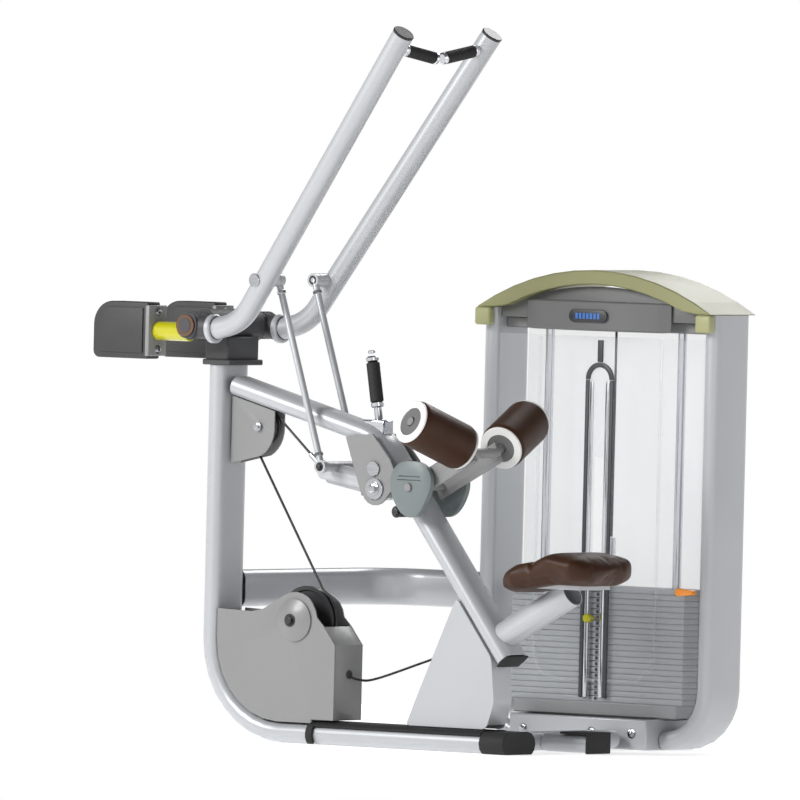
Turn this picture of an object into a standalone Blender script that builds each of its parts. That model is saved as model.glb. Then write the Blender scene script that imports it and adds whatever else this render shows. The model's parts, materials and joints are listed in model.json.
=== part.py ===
"""Selectorised lat pulldown machine, modelled piece by piece.

Metres, +Z up. +X runs from the column to the seat, +Y from the bench side to the
weight tower. Pieces are laid out from the column's axis, and the finished machine
stands with its origin under the base tube, BASE_MARK along from that axis.
"""
import math

import bmesh
import bpy
from mathutils import Matrix, Vector

# ---------------------------------------------------------------- driving sizes
GAP = 0.0003            # clearance between pieces that touch
BASE_MARK = 0.5         # from the column's axis to the machine's origin, along X
WALL = 0.003            # wall of every frame tube
ROUND_STEPS = 16        # sides of a round piece
BEND_STEPS = 6          # segments of a tube bend

COLUMN_DEEP = 0.055     # column and base tube, the flat-oval section's thickness
COLUMN_WIDE = 0.135     # the section's width, along Y
COLUMN_TOP = 1.032
COLUMN_BEND = 0.250
BASE_LENGTH = 1.030

BEAM_DEEP = 0.053       # sloped beam and crossbar section
BEAM_WIDE = 0.100
BEAM_TOP = (0.046, 0.976)
BEAM_KNEE = (0.548, 0.848)
BEAM_FOOT = (1.012, 0.258)
BEAM_BEND = 0.14

CROSSBAR_Z = 0.414
CROSSBAR_BEND = 0.157
CROSSBAR_Y = 0.729

TOWER_LEFT = 0.399      # centre of the left tower frame, along X
TOWER_RIGHT = 1.166
TOWER_THICK = 0.051
TOWER_DEEP = 0.160
TOWER_Y = 0.735
TOWER_TOP = 1.205
TOWER_BEND = 0.140
TOWER_BASE_Z = 0.0425
TOWER_COVER_PEAK = 1.318
HEADER_Z = (1.150, 1.232)

PLATE_COUNT = 20        # weight plates in the stack
PLATE_PITCH = 0.016
PLATE_WIDE = 0.600
PLATE_DEEP = 0.110
PLATE_JOINT = 0.0015    # groove between two plates
STACK_BOTTOM = 0.125
LIFTED_PLATES = 6       # plates above the selector pin
GUIDE_ROD = 0.0125
GUIDE_X = 0.230         # guide rods, each side of the stack's centre
ROD_HOLE = 0.0165

PIVOT = (-0.006, 1.141)  # arm pivot, X and Z
ARM_TUBE = 0.030
HUB_Y = 0.148
HUB_R = 0.036
HUB_LONG = 0.076
AXLE_R = 0.020
ARM_START = (0.071, 1.134)
ARM_KNEE = (0.160, 1.155)
ARM_TOP = (0.736, 1.959)
ARM_TOP_Y = 0.197
HANDLE_BACK = 0.045     # handle axis, down the arm from its top
HANDLE_LONG = 0.150
HANDLE_TILT = 9.0
GRIP_R = 0.017

WEIGHT_SIZE = (0.193, 0.055, 0.157)
WEIGHT_X = -0.2465
WEIGHT_Z = 1.122
BALANCE_R = 0.026

LINK_TOP = (0.231, 1.273)
LINK_FOOT = (0.397, 0.765)
LINK_R = 0.0095
LINK_EYE = 0.018
STUB_R = 0.0185

ROCKER_PIVOT = (0.574, 0.711)
ROCKER_ANCHOR = (0.350, 0.750)
ROCKER_R = 0.0325
ROCKER_HALF = 0.050
ROCKER_AXLE_R = 0.0125
GUSSET_Y = BEAM_WIDE / 2 + 0.0085
GUSSET_THICK = 0.008
LINK_Y = GUSSET_Y + GUSSET_THICK + 0.0135

UPPER_PULLEY = (0.129, 0.866)
UPPER_PULLEY_R = 0.050
LOWER_PULLEY = (0.302, 0.339)
LOWER_PULLEY_R = 0.094
PULLEY_WIDE = 0.022
CABLE_R = 0.0035

SEAT_X = (1.030, 1.348)
SEAT_WIDE = 0.300
SEAT_Z = (0.472, 0.556)
SEAT_POST_R = 0.038
SEAT_POST = ((0.985, 0.324), (1.215, 0.449))

THIGH_PIVOT = (0.715, 0.720)
COVER_SIZE = (0.074, 0.083)   # half width and half height of the pivot covers
ROLLER_R = 0.0670
ROLLER_IN = (0.899, BEAM_WIDE / 2 + 0.002, 0.819)
ROLLER_OUT = (0.848, BEAM_WIDE / 2 + 0.213, 0.905)
ROLLER_START = 0.034     # from the axle's inner end to the roller
WEB_Y = BEAM_WIDE / 2 + 0.008
COVER_Y = BEAM_WIDE / 2 + 0.0235
COVER_THICK = 0.0245

LEVER_FOOT = (0.536, 0.872)
LEVER_TOP = (0.500, 1.082)


# ---------------------------------------------------------------- basic tools
def clear_scene():
    for obj in list(bpy.data.objects):
        bpy.data.objects.remove(obj, do_unlink=True)


def material(name, colour, roughness, metallic=0.0):
    mat = bpy.data.materials.new(name)
    mat.use_nodes = True
    shader = mat.node_tree.nodes["Principled BSDF"]
    shader.inputs["Base Color"].default_value = (*colour, 1.0)
    shader.inputs["Roughness"].default_value = roughness
    shader.inputs["Metallic"].default_value = metallic
    return mat


FINISHES = {
    "frame": ((0.62, 0.63, 0.64), 0.35, 0.3),
    "plate": ((0.40, 0.40, 0.40), 0.4, 0.2),
    "dark": ((0.09, 0.09, 0.09), 0.5, 0.0),
    "rubber": ((0.015, 0.015, 0.015), 0.8, 0.0),
    "pad": ((0.035, 0.012, 0.002), 0.55, 0.0),
    "chrome": ((0.75, 0.75, 0.77), 0.12, 1.0),
    "yellow": ((0.47, 0.45, 0.0), 0.4, 0.1),
    "orange": ((1.0, 0.32, 0.0), 0.4, 0.0),
    "khaki": ((0.55, 0.55, 0.35), 0.45, 0.0),
    "header": ((0.14, 0.14, 0.14), 0.45, 0.0),
    "cover": ((0.16, 0.19, 0.19), 0.5, 0.0),
    "shield": ((0.75, 0.77, 0.78), 0.1, 0.0),
    "blue": ((0.1, 0.2, 0.5), 0.3, 0.0),
    "cable": ((0.05, 0.05, 0.05), 0.5, 0.0),
}


def finish(name, bm, look, pivot=(0.0, 0.0, 0.0)):
    """Makes a named object whose origin is at pivot, given from the column's axis."""
    centre = Vector(pivot)
    bmesh.ops.recalc_face_normals(bm, faces=bm.faces)
    bmesh.ops.translate(bm, verts=bm.verts, vec=-centre)
    mesh = bpy.data.meshes.new(name)
    bm.to_mesh(mesh)
    bm.free()
    mesh.shade_smooth()
    mesh.set_sharp_from_angle(angle=math.radians(32))
    mesh.materials.append(material(name, *FINISHES[look]))
    obj = bpy.data.objects.new(name, mesh)
    obj.location = centre - Vector((BASE_MARK, 0.0, 0.0))
    bpy.context.collection.objects.link(obj)
    return obj


def join_or_cut(obj, tools, operation):
    """Adds Booleans to obj, with each tool hidden as a guide."""
    for tool in tools:
        tool.hide_render = True
        tool.display_type = "WIRE"
        cut = obj.modifiers.new(tool.name, "BOOLEAN")
        cut.object = tool
        cut.operation = operation
        cut.solver = "EXACT"
    return obj


def oval(width, thickness, steps=6):
    """Flat-oval section: half-round ends joined by straight sides, width along u."""
    half = width / 2 - thickness / 2
    points = []
    for side in (1, -1):
        for i in range(steps + 1):
            angle = -math.pi / 2 + math.pi * i / steps
            u = side * (half + thickness / 2 * math.cos(angle))
            points.append((u, side * thickness / 2 * math.sin(angle)))
    return points


def circle(radius, steps=ROUND_STEPS):
    turn = 2 * math.pi / steps
    return [(radius * math.cos(i * turn), radius * math.sin(i * turn)) for i in range(steps)]


def rounded_path(corners, radii, steps=BEND_STEPS):
    """Centreline through corners, with each inner corner rounded to its radius."""
    corners = [Vector(c) for c in corners]
    path = [corners[0]]
    for before, corner, after, radius in zip(corners, corners[1:], corners[2:], radii):
        into = (corner - before).normalized()
        out = (after - corner).normalized()
        bend = into.angle(out)
        reach = radius * math.tan(bend / 2)
        start = corner - into * reach
        normal = (out - into * into.dot(out)).normalized()
        centre = start + normal * radius
        for i in range(steps + 1):
            angle = bend * i / steps
            path.append(centre - normal * radius * math.cos(angle) + into * radius * math.sin(angle))
    path.append(corners[-1])
    return path


def sweep(path, section, side, inner=None):
    """Carries a section along a path. side is the section's u direction."""
    bm = bmesh.new()
    side = Vector(side).normalized()
    shells = [section] if inner is None else [section, inner]
    rings = []
    for shell in shells:
        rows = []
        for i, point in enumerate(path):
            back = path[max(i - 1, 0)]
            ahead = path[min(i + 1, len(path) - 1)]
            tangent = (ahead - back).normalized()
            u_axis = (side - tangent * side.dot(tangent)).normalized()
            v_axis = tangent.cross(u_axis)
            rows.append([bm.verts.new(point + u_axis * u + v_axis * v) for u, v in shell])
        rings.append(rows)
        for row, after in zip(rows, rows[1:]):
            for j in range(len(shell)):
                k = (j + 1) % len(shell)
                bm.faces.new((row[j], row[k], after[k], after[j]))
    for end in (0, -1):
        if inner is None:
            bm.faces.new(rings[0][end])
            continue
        outer_ring, inner_ring = rings[0][end], rings[1][end]
        for j in range(len(outer_ring)):
            k = (j + 1) % len(outer_ring)
            bm.faces.new((outer_ring[j], outer_ring[k], inner_ring[k], inner_ring[j]))
    return bm


def hollow_oval(path, width, thickness, side):
    core = oval(width - 2 * WALL, thickness - 2 * WALL)
    return sweep(path, oval(width, thickness), side, core)


def rod(start, end, radius, steps=ROUND_STEPS, bore=0.0):
    """Round bar or pipe between two points."""
    start, end = Vector(start), Vector(end)
    along = (end - start).normalized()
    side = along.orthogonal()
    inner = circle(bore, steps) if bore else None
    return sweep([start, end], circle(radius, steps), side, inner)


def cross_rod(centre, reach, radius, steps=12):
    """Round bar along Y, reaching equally to both sides of its centre."""
    half = Vector((0, reach, 0))
    return rod(centre - half, centre + half, radius, steps)


def turned(profile, start, along, steps=ROUND_STEPS):
    """Turns a profile of (distance along, radius) about an axis from start."""
    bm = bmesh.new()
    rows = [bm.verts.new((0.0, r, s)) for s, r in profile]
    edges = [bm.edges.new(pair) for pair in zip(rows, rows[1:])]
    edges.append(bm.edges.new((rows[-1], rows[0])))
    bmesh.ops.spin(bm, geom=rows + edges, cent=(0, 0, 0), axis=(0, 0, 1),
                   angle=2 * math.pi, steps=steps, use_merge=True)
    bmesh.ops.remove_doubles(bm, verts=bm.verts, dist=1e-6)
    aim = Vector((0, 0, 1)).rotation_difference(Vector(along).normalized()).to_matrix().to_4x4()
    bmesh.ops.transform(bm, matrix=Matrix.Translation(Vector(start)) @ aim, verts=bm.verts)
    return bm


def prism(outline, low, high, axis="Y"):
    """Extrudes a flat outline along an axis. The outline is (x, z), (x, y) or (y, z)."""
    def place(a, b, depth):
        spot = [a, b]
        spot.insert("XYZ".index(axis), depth)
        return spot
    bm = bmesh.new()
    verts = [bm.verts.new(place(a, b, low)) for a, b in outline]
    face = bm.faces.new(verts)
    moved = bmesh.ops.extrude_face_region(bm, geom=[face])
    shift = Vector(place(0.0, 0.0, high)) - Vector(place(0.0, 0.0, low))
    bmesh.ops.translate(bm, vec=shift, verts=[v for v in moved["geom"] if isinstance(v, bmesh.types.BMVert)])
    return bm


def block(low, high, bevel=0.0, segments=2):
    bm = bmesh.new()
    bmesh.ops.create_cube(bm, size=1.0)
    size = [b - a for a, b in zip(low, high)]
    centre = [(a + b) / 2 for a, b in zip(low, high)]
    bmesh.ops.scale(bm, vec=size, verts=bm.verts)
    bmesh.ops.translate(bm, vec=centre, verts=bm.verts)
    if bevel:
        bmesh.ops.bevel(bm, geom=bm.edges, offset=bevel, segments=segments, affect="EDGES", profile=0.5)
    return bm


def arc(centre, radius, first, last, steps):
    """Points on a circle, from the first to the last angle in degrees."""
    points = []
    for i in range(steps + 1):
        angle = math.radians(first + (last - first) * i / steps)
        points.append((centre[0] + radius * math.cos(angle), centre[1] + radius * math.sin(angle)))
    return points


def in_plane(point, y=0.0):
    return Vector((point[0], y, point[1]))


# ---------------------------------------------------------------- frame
def make_column():
    low = COLUMN_DEEP / 2
    corners = [(0, 0, COLUMN_TOP), (0, 0, low), (BASE_LENGTH, 0, low)]
    path = rounded_path(corners, [COLUMN_BEND], 8)
    finish("column_and_base_tube", hollow_oval(path, COLUMN_WIDE, COLUMN_DEEP, (0, 1, 0)), "frame")


TREAD_X = 0.370
TREAD_THICK = 0.010
BOOT_LONG = 0.070
PIVOT_HEAD_Z = COLUMN_TOP + 0.016


def make_base_rubber():
    half = COLUMN_WIDE / 2
    low = COLUMN_DEEP + GAP
    outline = [(-half + 0.030, low), (half - 0.030, low)]
    outline += [(half - 0.032, low + TREAD_THICK), (-half + 0.032, low + TREAD_THICK)]
    finish("base_tread", prism(outline, TREAD_X, BASE_LENGTH - BOOT_LONG, "X"), "rubber")
    path = [Vector((BASE_LENGTH - BOOT_LONG + 2 * GAP, 0, COLUMN_DEEP / 2 + 0.001)),
            Vector((BASE_LENGTH + 0.014, 0, COLUMN_DEEP / 2 + 0.001))]
    shell = sweep(path, oval(COLUMN_WIDE + 0.014, COLUMN_DEEP + 0.012), (0, 1, 0))
    boot = finish("base_boot", shell, "rubber")
    hole = [Vector((BASE_LENGTH - 0.3, 0, COLUMN_DEEP / 2)), Vector((BASE_LENGTH + GAP, 0, COLUMN_DEEP / 2))]
    wide = oval(COLUMN_WIDE + 2 * GAP, COLUMN_DEEP + 2 * GAP)
    cutter = finish("boot_cutter", sweep(hole, wide, (0, 1, 0)), "rubber")
    floor = finish("boot_floor_cutter", block((0.7, -0.2, -0.1), (1.3, 0.2, 0.0)), "rubber")
    join_or_cut(boot, [cutter, floor], "DIFFERENCE")


CROSS_BASE_X = BASE_LENGTH - 0.125
REAR_FOOT_LONG = 0.155


def make_rear_base():
    low = 0.050 / 2 + 0.003
    side = COLUMN_WIDE / 2 + GAP
    path = [Vector((CROSS_BASE_X, side, low)), Vector((CROSS_BASE_X, 0.570, low))]
    finish("rear_cross_tube", hollow_oval(path, 0.100, 0.050, (1, 0, 0)), "frame")
    start = CROSS_BASE_X + 0.050
    path = [Vector((start + GAP, 0.262, low)), Vector((start + REAR_FOOT_LONG, 0.262, low))]
    finish("rear_foot", hollow_oval(path, 0.100, 0.050, (0, 1, 0)), "frame")


def make_crossbar():
    start = COLUMN_WIDE / 2 + GAP
    stop = TOWER_LEFT - TOWER_THICK / 2 - GAP
    corners = [(0, start, CROSSBAR_Z), (0, CROSSBAR_Y, CROSSBAR_Z), (stop, CROSSBAR_Y, CROSSBAR_Z)]
    path = rounded_path(corners, [CROSSBAR_BEND])
    finish("crossbar_tube", hollow_oval(path, 0.103, 0.050, (0, 0, 1)), "frame")


def make_beam():
    corners = [in_plane(BEAM_TOP), in_plane(BEAM_KNEE), in_plane(BEAM_FOOT)]
    path = rounded_path(corners, [BEAM_BEND])
    finish("sloped_beam", hollow_oval(path, BEAM_WIDE, BEAM_DEEP, (0, 1, 0)), "frame")


def beam_room(name):
    """Cutter a little larger than the beam, for what seats on it."""
    path = rounded_path([in_plane(BEAM_TOP), in_plane(BEAM_KNEE), in_plane(BEAM_FOOT)], [BEAM_BEND])
    return finish(name, sweep(path, oval(BEAM_WIDE + 4 * GAP, BEAM_DEEP + 4 * GAP), (0, 1, 0)), "frame")


def below_beam(x, extra=0.0):
    """Height of the sloped beam's underside at x, on its lower straight."""
    run = BEAM_FOOT[0] - BEAM_KNEE[0]
    drop = BEAM_FOOT[1] - BEAM_KNEE[1]
    slope = drop / run
    lean = math.hypot(run, drop) / run
    return BEAM_KNEE[1] + slope * (x - BEAM_KNEE[0]) - (BEAM_DEEP / 2 + extra) * lean


def make_seat_support():
    floor = COLUMN_DEEP + TREAD_THICK + 2 * GAP
    near, far = 0.846, 0.972
    heel = BASE_LENGTH - 0.070
    outline = [(0.680, floor), (heel, floor), (0.985, 0.14), (far, below_beam(far, 0.002))]
    outline.append((near, below_beam(near, 0.002)))
    bm = prism(outline, -0.041, 0.041)
    upright = [e for e in bm.edges if abs(e.verts[0].co.y - e.verts[1].co.y) > 0.01]
    bmesh.ops.bevel(bm, geom=upright, offset=0.014, segments=2, affect="EDGES", profile=0.5)
    support = finish("seat_support", bm, "plate")
    inside = [(0.688, floor - 0.02), (heel - 0.005, floor - 0.02), (0.980, 0.14)]
    inside += [(far - 0.005, below_beam(far, 0.010)), (near + 0.003, below_beam(near, 0.012))]
    room = finish("support_room", prism(inside, -0.0375, 0.0375), "plate")
    join_or_cut(support, [room], "DIFFERENCE")


def make_seat():
    low = in_plane(SEAT_POST[0])
    high = in_plane(SEAT_POST[1])
    post = finish("seat_post", rod(low, high, SEAT_POST_R, 20, SEAT_POST_R - WALL), "frame")
    cutter = beam_room("post_room")
    top = finish("post_top_cutter", block((1.0, -0.2, SEAT_Z[0] - 0.008), (1.6, 0.2, 0.7)), "frame")
    join_or_cut(post, [cutter, top], "DIFFERENCE")
    plate = block((1.060, -0.070, SEAT_Z[0] - 0.012), (1.290, 0.070, SEAT_Z[0] - GAP))
    join_or_cut(post, [finish("seat_mount_plate", plate, "dark")], "UNION")
    make_seat_pad()


def seat_half_width(share):
    """Half width of the seat along its length: a narrow nose, a waist and a wide rear."""
    nose = 0.085 + 0.060 * math.sqrt(max(0.0, min(1.0, share / 0.18)))
    swell = (SEAT_WIDE / 2 - 0.145) * (0.5 - 0.5 * math.cos(math.pi * min(1.0, share / 0.62)))
    tail = 1.0 if share < 0.86 else math.sqrt(max(0.0, 1.0 - ((share - 0.86) / 0.145) ** 2))
    return (nose + swell) * (0.45 + 0.55 * tail)


def make_seat_pad():
    steps = 16
    length = SEAT_X[1] - SEAT_X[0]
    near = [(SEAT_X[0] + length * i / steps, -seat_half_width(i / steps)) for i in range(steps + 1)]
    far = [(x, -y) for x, y in reversed(near)]
    bm = prism(near + far, SEAT_Z[0], SEAT_Z[1], "Z")
    rim = [e for e in bm.edges if abs(e.verts[0].co.z - e.verts[1].co.z) < 1e-6]
    bmesh.ops.bevel(bm, geom=rim, offset=0.012, segments=2, affect="EDGES", profile=0.5)
    finish("seat_pad", bm, "pad")


# ---------------------------------------------------------------- pulleys and cable
def make_pulley(name, centre, radius):
    half = PULLEY_WIDE / 2
    groove = CABLE_R * 1.3
    bore = 0.0085
    profile = [(-half, bore), (-half, radius), (-groove, radius), (-groove * 0.4, radius - groove * 1.6),
               (groove * 0.4, radius - groove * 1.6), (groove, radius), (half, radius), (half, bore)]
    finish(name, turned(profile, in_plane(centre), (0, 1, 0), 24), "dark", in_plane(centre))


def make_bracket(name, outline, half_gap, thick, axle, bridge):
    """Two side plates and a bridge between them, with the pulley's axle across."""
    plates = finish(name, prism(outline, -half_gap - thick, -half_gap), "plate")
    far = finish(name + "_far", prism(outline, half_gap, half_gap + thick), "plate")
    web = finish(name + "_web", prism(bridge, -half_gap - thick / 2, half_gap + thick / 2), "plate")
    reach = half_gap + thick + 0.006
    pin = finish(name + "_pin", rod(in_plane(axle, -reach), in_plane(axle, reach), 0.008, 12), "plate")
    join_or_cut(plates, [web, far, pin], "UNION")


def make_upper_pulley():
    left = COLUMN_DEEP / 2 + 0.006
    lean = math.tan(math.radians(14.3))

    def under(x):
        return BEAM_TOP[1] - (x - BEAM_TOP[0]) * lean - BEAM_DEEP / 2 - 0.004

    outline = [(left, 0.762), (left, under(left)), (0.184, under(0.184)), (0.184, 0.858)]
    outline += arc((0.099, 0.861), 0.085, -8, -62, 5)
    bridge = [(left, 0.800), (left, under(left)), (left + 0.012, under(left) - 0.004), (left + 0.012, 0.800)]
    make_bracket("upper_pulley_housing", outline, 0.020, 0.004, UPPER_PULLEY, bridge)
    make_pulley("upper_pulley", UPPER_PULLEY, UPPER_PULLEY_R)


HOUSING_HALF = 0.058     # half the gap between the lower housing's plates


def make_lower_pulley():
    inner = COLUMN_DEEP / 2 + 0.003
    floor = COLUMN_DEEP + 0.003
    bend = COLUMN_BEND - COLUMN_DEEP / 2 - 0.003
    centre = (COLUMN_BEND, COLUMN_BEND + COLUMN_DEEP / 2)
    outline = [(inner, 0.362)]
    outline += [(p[0], p[1]) for p in arc(centre, bend, 180, 268, 7)]
    outline += [(TREAD_X - 0.004, floor), (TREAD_X - 0.004, 0.068)]
    outline += [(0.445, 0.068), (0.445, 0.275), (0.405, 0.325)]
    outline += arc(LOWER_PULLEY, 0.078, 8, 118, 7)
    outline += [(0.190, 0.366), (0.150, 0.358)]
    bridge = [(inner, 0.290), (inner, 0.345), (inner + 0.012, 0.345), (inner + 0.012, 0.290)]
    make_bracket("lower_pulley_housing", outline, HOUSING_HALF, 0.0045, LOWER_PULLEY, bridge)
    make_pulley("lower_pulley", LOWER_PULLEY, LOWER_PULLEY_R)
    cap = [(0.0, 0.006), (0.0, 0.040), (0.004, 0.040), (0.018, 0.019), (0.018, 0.006)]
    washer = turned(cap, in_plane(LOWER_PULLEY, -HOUSING_HALF - 0.004), (0, -1, 0), 20)
    guide = finish("pulley_washer", washer, "plate")
    join_or_cut(bpy.data.objects["lower_pulley_housing"], [guide], "UNION")


def cable_tangent(centre, radius, x, z, side):
    """Point where a line from (x, z) touches the circle, on the given side."""
    dx, dz = x - centre[0], z - centre[1]
    distance = math.hypot(dx, dz)
    base = math.atan2(dz, dx)
    swing = math.acos(radius / distance)
    angle = base + side * swing
    return (centre[0] + radius * math.cos(angle), centre[1] + radius * math.sin(angle)), angle


TOP_PULLEY_Z = 1.150 - GAP
STACK_X = (TOWER_LEFT + TOWER_RIGHT) / 2
SLOT_HALF = 0.017       # half width of the slot in front of the selector pin
SLOT_TOP = 0.800
STACK_Y = 0.735
CABLE_GAP = 0.0006
SHIELD_Y = 0.668
SHIELD_THICK = 0.004
REAR_PANEL_Y = 0.802
SHIELD_HOLE = (0.455, 0.290)    # where the cable enters the tower, X and Z
CABLE_EXIT = [(0.410, 0.0, 0.240), (0.442, 0.002, 0.196), (0.466, 0.022, 0.181), (0.484, 0.080, 0.184),
              (0.470, 0.340, 0.232), (0.457, 0.620, 0.284)]


def make_cables():
    upper = UPPER_PULLEY_R + CABLE_R + CABLE_GAP
    first, start = cable_tangent(UPPER_PULLEY, upper, *ROCKER_ANCHOR, 1)
    low_run = LOWER_PULLEY_R + CABLE_R + CABLE_GAP
    anchor = in_plane(ROCKER_ANCHOR)
    pull = (in_plane(first) - anchor).normalized()
    span = [anchor + pull * (ROCKER_HALF * 0.6), in_plane(first) - pull * 0.002]
    finish("rocker_cable", sweep(span, circle(CABLE_R, 6), (0, 1, 0)), "cable", anchor)
    down = math.radians(205)
    over = arc(UPPER_PULLEY, upper, math.degrees(start), math.degrees(down), 8)
    entry = math.radians(60)
    wrap = arc(LOWER_PULLEY, low_run, math.degrees(entry), -25, 8)
    route = [in_plane(p) for p in over + wrap]
    route += [Vector(p) for p in CABLE_EXIT]
    route.append(Vector((SHIELD_HOLE[0], REAR_PANEL_Y - 0.001, SHIELD_HOLE[1] + 0.035)))
    finish("frame_cable", sweep(route, circle(CABLE_R, 6), (0.1, 1, 0.1)), "cable")
    top = STACK_BOTTOM + PLATE_COUNT * PLATE_PITCH + 0.135
    run = [Vector((STACK_X, STACK_Y, top)), Vector((STACK_X, STACK_Y, TOP_PULLEY_Z))]
    finish("stack_cable", sweep(run, circle(CABLE_R, 6), (0, 1, 0)), "cable", run[0])


# ---------------------------------------------------------------- rocker
def make_rocker():
    pivot = in_plane(ROCKER_PIVOT)
    anchor = in_plane(ROCKER_ANCHOR)
    out = (anchor - pivot).normalized()
    body = finish("rocker_body", cross_rod(pivot, ROCKER_HALF, ROCKER_R, ROUND_STEPS), "frame", pivot)
    tube = rod(pivot + out * 0.010, anchor - out * 0.020, ROCKER_R * 0.92)
    arm = finish("rocker_arm_tool", tube, "frame", pivot)
    eye = finish("rocker_eye_tool", cross_rod(anchor, 0.012, 0.022, ROUND_STEPS), "frame", pivot)
    foot = in_plane(LINK_FOOT)
    reach = LINK_Y - LINK_EYE / 2 - 0.001
    cross = finish("rocker_shaft_tool", cross_rod(foot, reach, 0.014, ROUND_STEPS), "frame", pivot)
    join_or_cut(body, [arm, eye, cross], "UNION")
    outer = GUSSET_Y + GUSSET_THICK + 0.002
    finish("rocker_axle", cross_rod(pivot, outer, ROCKER_AXLE_R), "dark")
    hole = finish("rocker_bore", cross_rod(pivot, 0.1, ROCKER_AXLE_R + 2 * GAP), "dark")
    join_or_cut(body, [hole], "DIFFERENCE")
    for name, side in (("left_gusset", -1), ("right_gusset", 1)):
        outline = [(0.468, 0.850), (0.528, 0.690)] + arc(ROCKER_PIVOT, 0.046, 200, 320, 6)
        outline += [(0.655, 0.735), (0.626, 0.790), (0.560, 0.862)]
        inner, out_y = side * GUSSET_Y, side * (GUSSET_Y + GUSSET_THICK)
        gusset = finish(name, prism(outline, min(inner, out_y), max(inner, out_y)), "plate")
        bore = cross_rod(pivot, 0.1, ROCKER_AXLE_R + GAP)
        join_or_cut(gusset, [finish(name + "_bore", bore, "plate")], "DIFFERENCE")
    spot = Vector((0.646, 0, 0.650))
    finish("stop_bumper", cross_rod(spot, GUSSET_Y - GAP, 0.015), "rubber")


# ---------------------------------------------------------------- arms
def arm_y(z, side):
    """How far out the arm tube is at a height: it leans outward to its top."""
    share = max(0.0, (z - ARM_START[1]) / (ARM_TOP[1] - ARM_START[1]))
    return side * (HUB_Y + (ARM_TOP_Y - HUB_Y) * share)


def make_arm(hand, side):
    pivot = Vector((PIVOT[0], side * HUB_Y, PIVOT[1]))
    top = Vector((ARM_TOP[0], arm_y(ARM_TOP[1], side), ARM_TOP[1]))
    knee = Vector((ARM_KNEE[0], arm_y(ARM_KNEE[1], side), ARM_KNEE[1]))
    start = Vector((ARM_START[0], side * HUB_Y, ARM_START[1]))
    toward = (start - pivot).normalized()
    path = rounded_path([start - toward * 0.008, knee, top], [0.140])
    tube = sweep(path, circle(ARM_TUBE, 14), (0, 1, 0), circle(ARM_TUBE - WALL, 14))
    arm = finish(hand + "_arm_tube", tube, "frame", pivot)
    socket_room = rod(pivot, start, HUB_R + 0.010)
    join_or_cut(arm, [finish(hand + "_socket_room", socket_room, "frame", pivot)], "DIFFERENCE")
    stub_at = Vector((LINK_TOP[0], 0, LINK_TOP[1]))
    inner = side * (LINK_Y + LINK_EYE / 2 + 0.001)
    outer = arm_y(LINK_TOP[1], side)
    stub = rod(stub_at + Vector((0, inner, 0)), stub_at + Vector((0, outer, 0)), STUB_R, 12)
    stub_tool = finish(hand + "_stub_tool", stub, "frame", pivot)
    join_or_cut(arm, [stub_tool], "UNION")
    hub = finish(hand + "_hub", cross_rod(pivot, HUB_LONG / 2, HUB_R, 20), "header", pivot)
    socket = rod(pivot, start - toward * 2 * GAP, HUB_R - 0.002)
    join_or_cut(hub, [finish(hand + "_socket", socket, "header", pivot)], "UNION")
    bore = cross_rod(pivot, HUB_LONG, AXLE_R + 2 * GAP, 20)
    join_or_cut(hub, [finish(hand + "_hub_bore", bore, "header", pivot)], "DIFFERENCE")
    make_balance(hand, side, pivot)
    make_handle(hand, side, pivot, top, knee)


def make_balance(hand, side, pivot):
    y = side * HUB_Y
    plate_x = WEIGHT_X + WEIGHT_SIZE[0] / 2
    tube_end = (PIVOT[0] - HUB_R * 0.4, y, WEIGHT_Z)
    tube = rod((plate_x + 0.012, y, WEIGHT_Z), tube_end, BALANCE_R, 16, BALANCE_R - WALL)
    balance = finish(hand + "_balance_tube", tube, "yellow", pivot)
    room = cross_rod(pivot, 0.06, HUB_R + GAP, 20)
    join_or_cut(balance, [finish(hand + "_tube_room", room, "yellow", pivot)], "DIFFERENCE")
    half_y, half_z = WEIGHT_SIZE[1] / 2, WEIGHT_SIZE[2] / 2
    low_x = WEIGHT_X - WEIGHT_SIZE[0] / 2
    outline = [(plate_x, WEIGHT_Z - half_z), (plate_x, WEIGHT_Z + half_z)]
    outline += arc((low_x + 0.065, WEIGHT_Z + half_z - 0.065), 0.065, 90, 180, 6)
    outline += arc((low_x + 0.020, WEIGHT_Z - half_z + 0.020), 0.020, 180, 270, 3)
    weight = prism(outline, y - half_y, y + half_y)
    finish(hand + "_counterweight", weight, "dark", pivot)
    low = (plate_x + GAP, y - 0.040, WEIGHT_Z - 0.070)
    high = (plate_x + 0.014, y + 0.040, WEIGHT_Z + 0.070)
    flange = finish(hand + "_weight_flange", block(low, high, 0.003, 1), "plate", pivot)
    join_or_cut(balance, [flange], "UNION")


def make_handle(hand, side, pivot, top, knee):
    up = (top - knee).normalized()
    root = top - up * HANDLE_BACK
    tilt = math.radians(HANDLE_TILT)
    inward = Vector((0, -side * math.cos(tilt), -math.sin(tilt)))
    first = root + inward * (ARM_TUBE + 0.004)
    grip = rod(first, first + inward * HANDLE_LONG, GRIP_R, 16)
    finish(hand + "_handle_grip", grip, "rubber", pivot)


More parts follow.
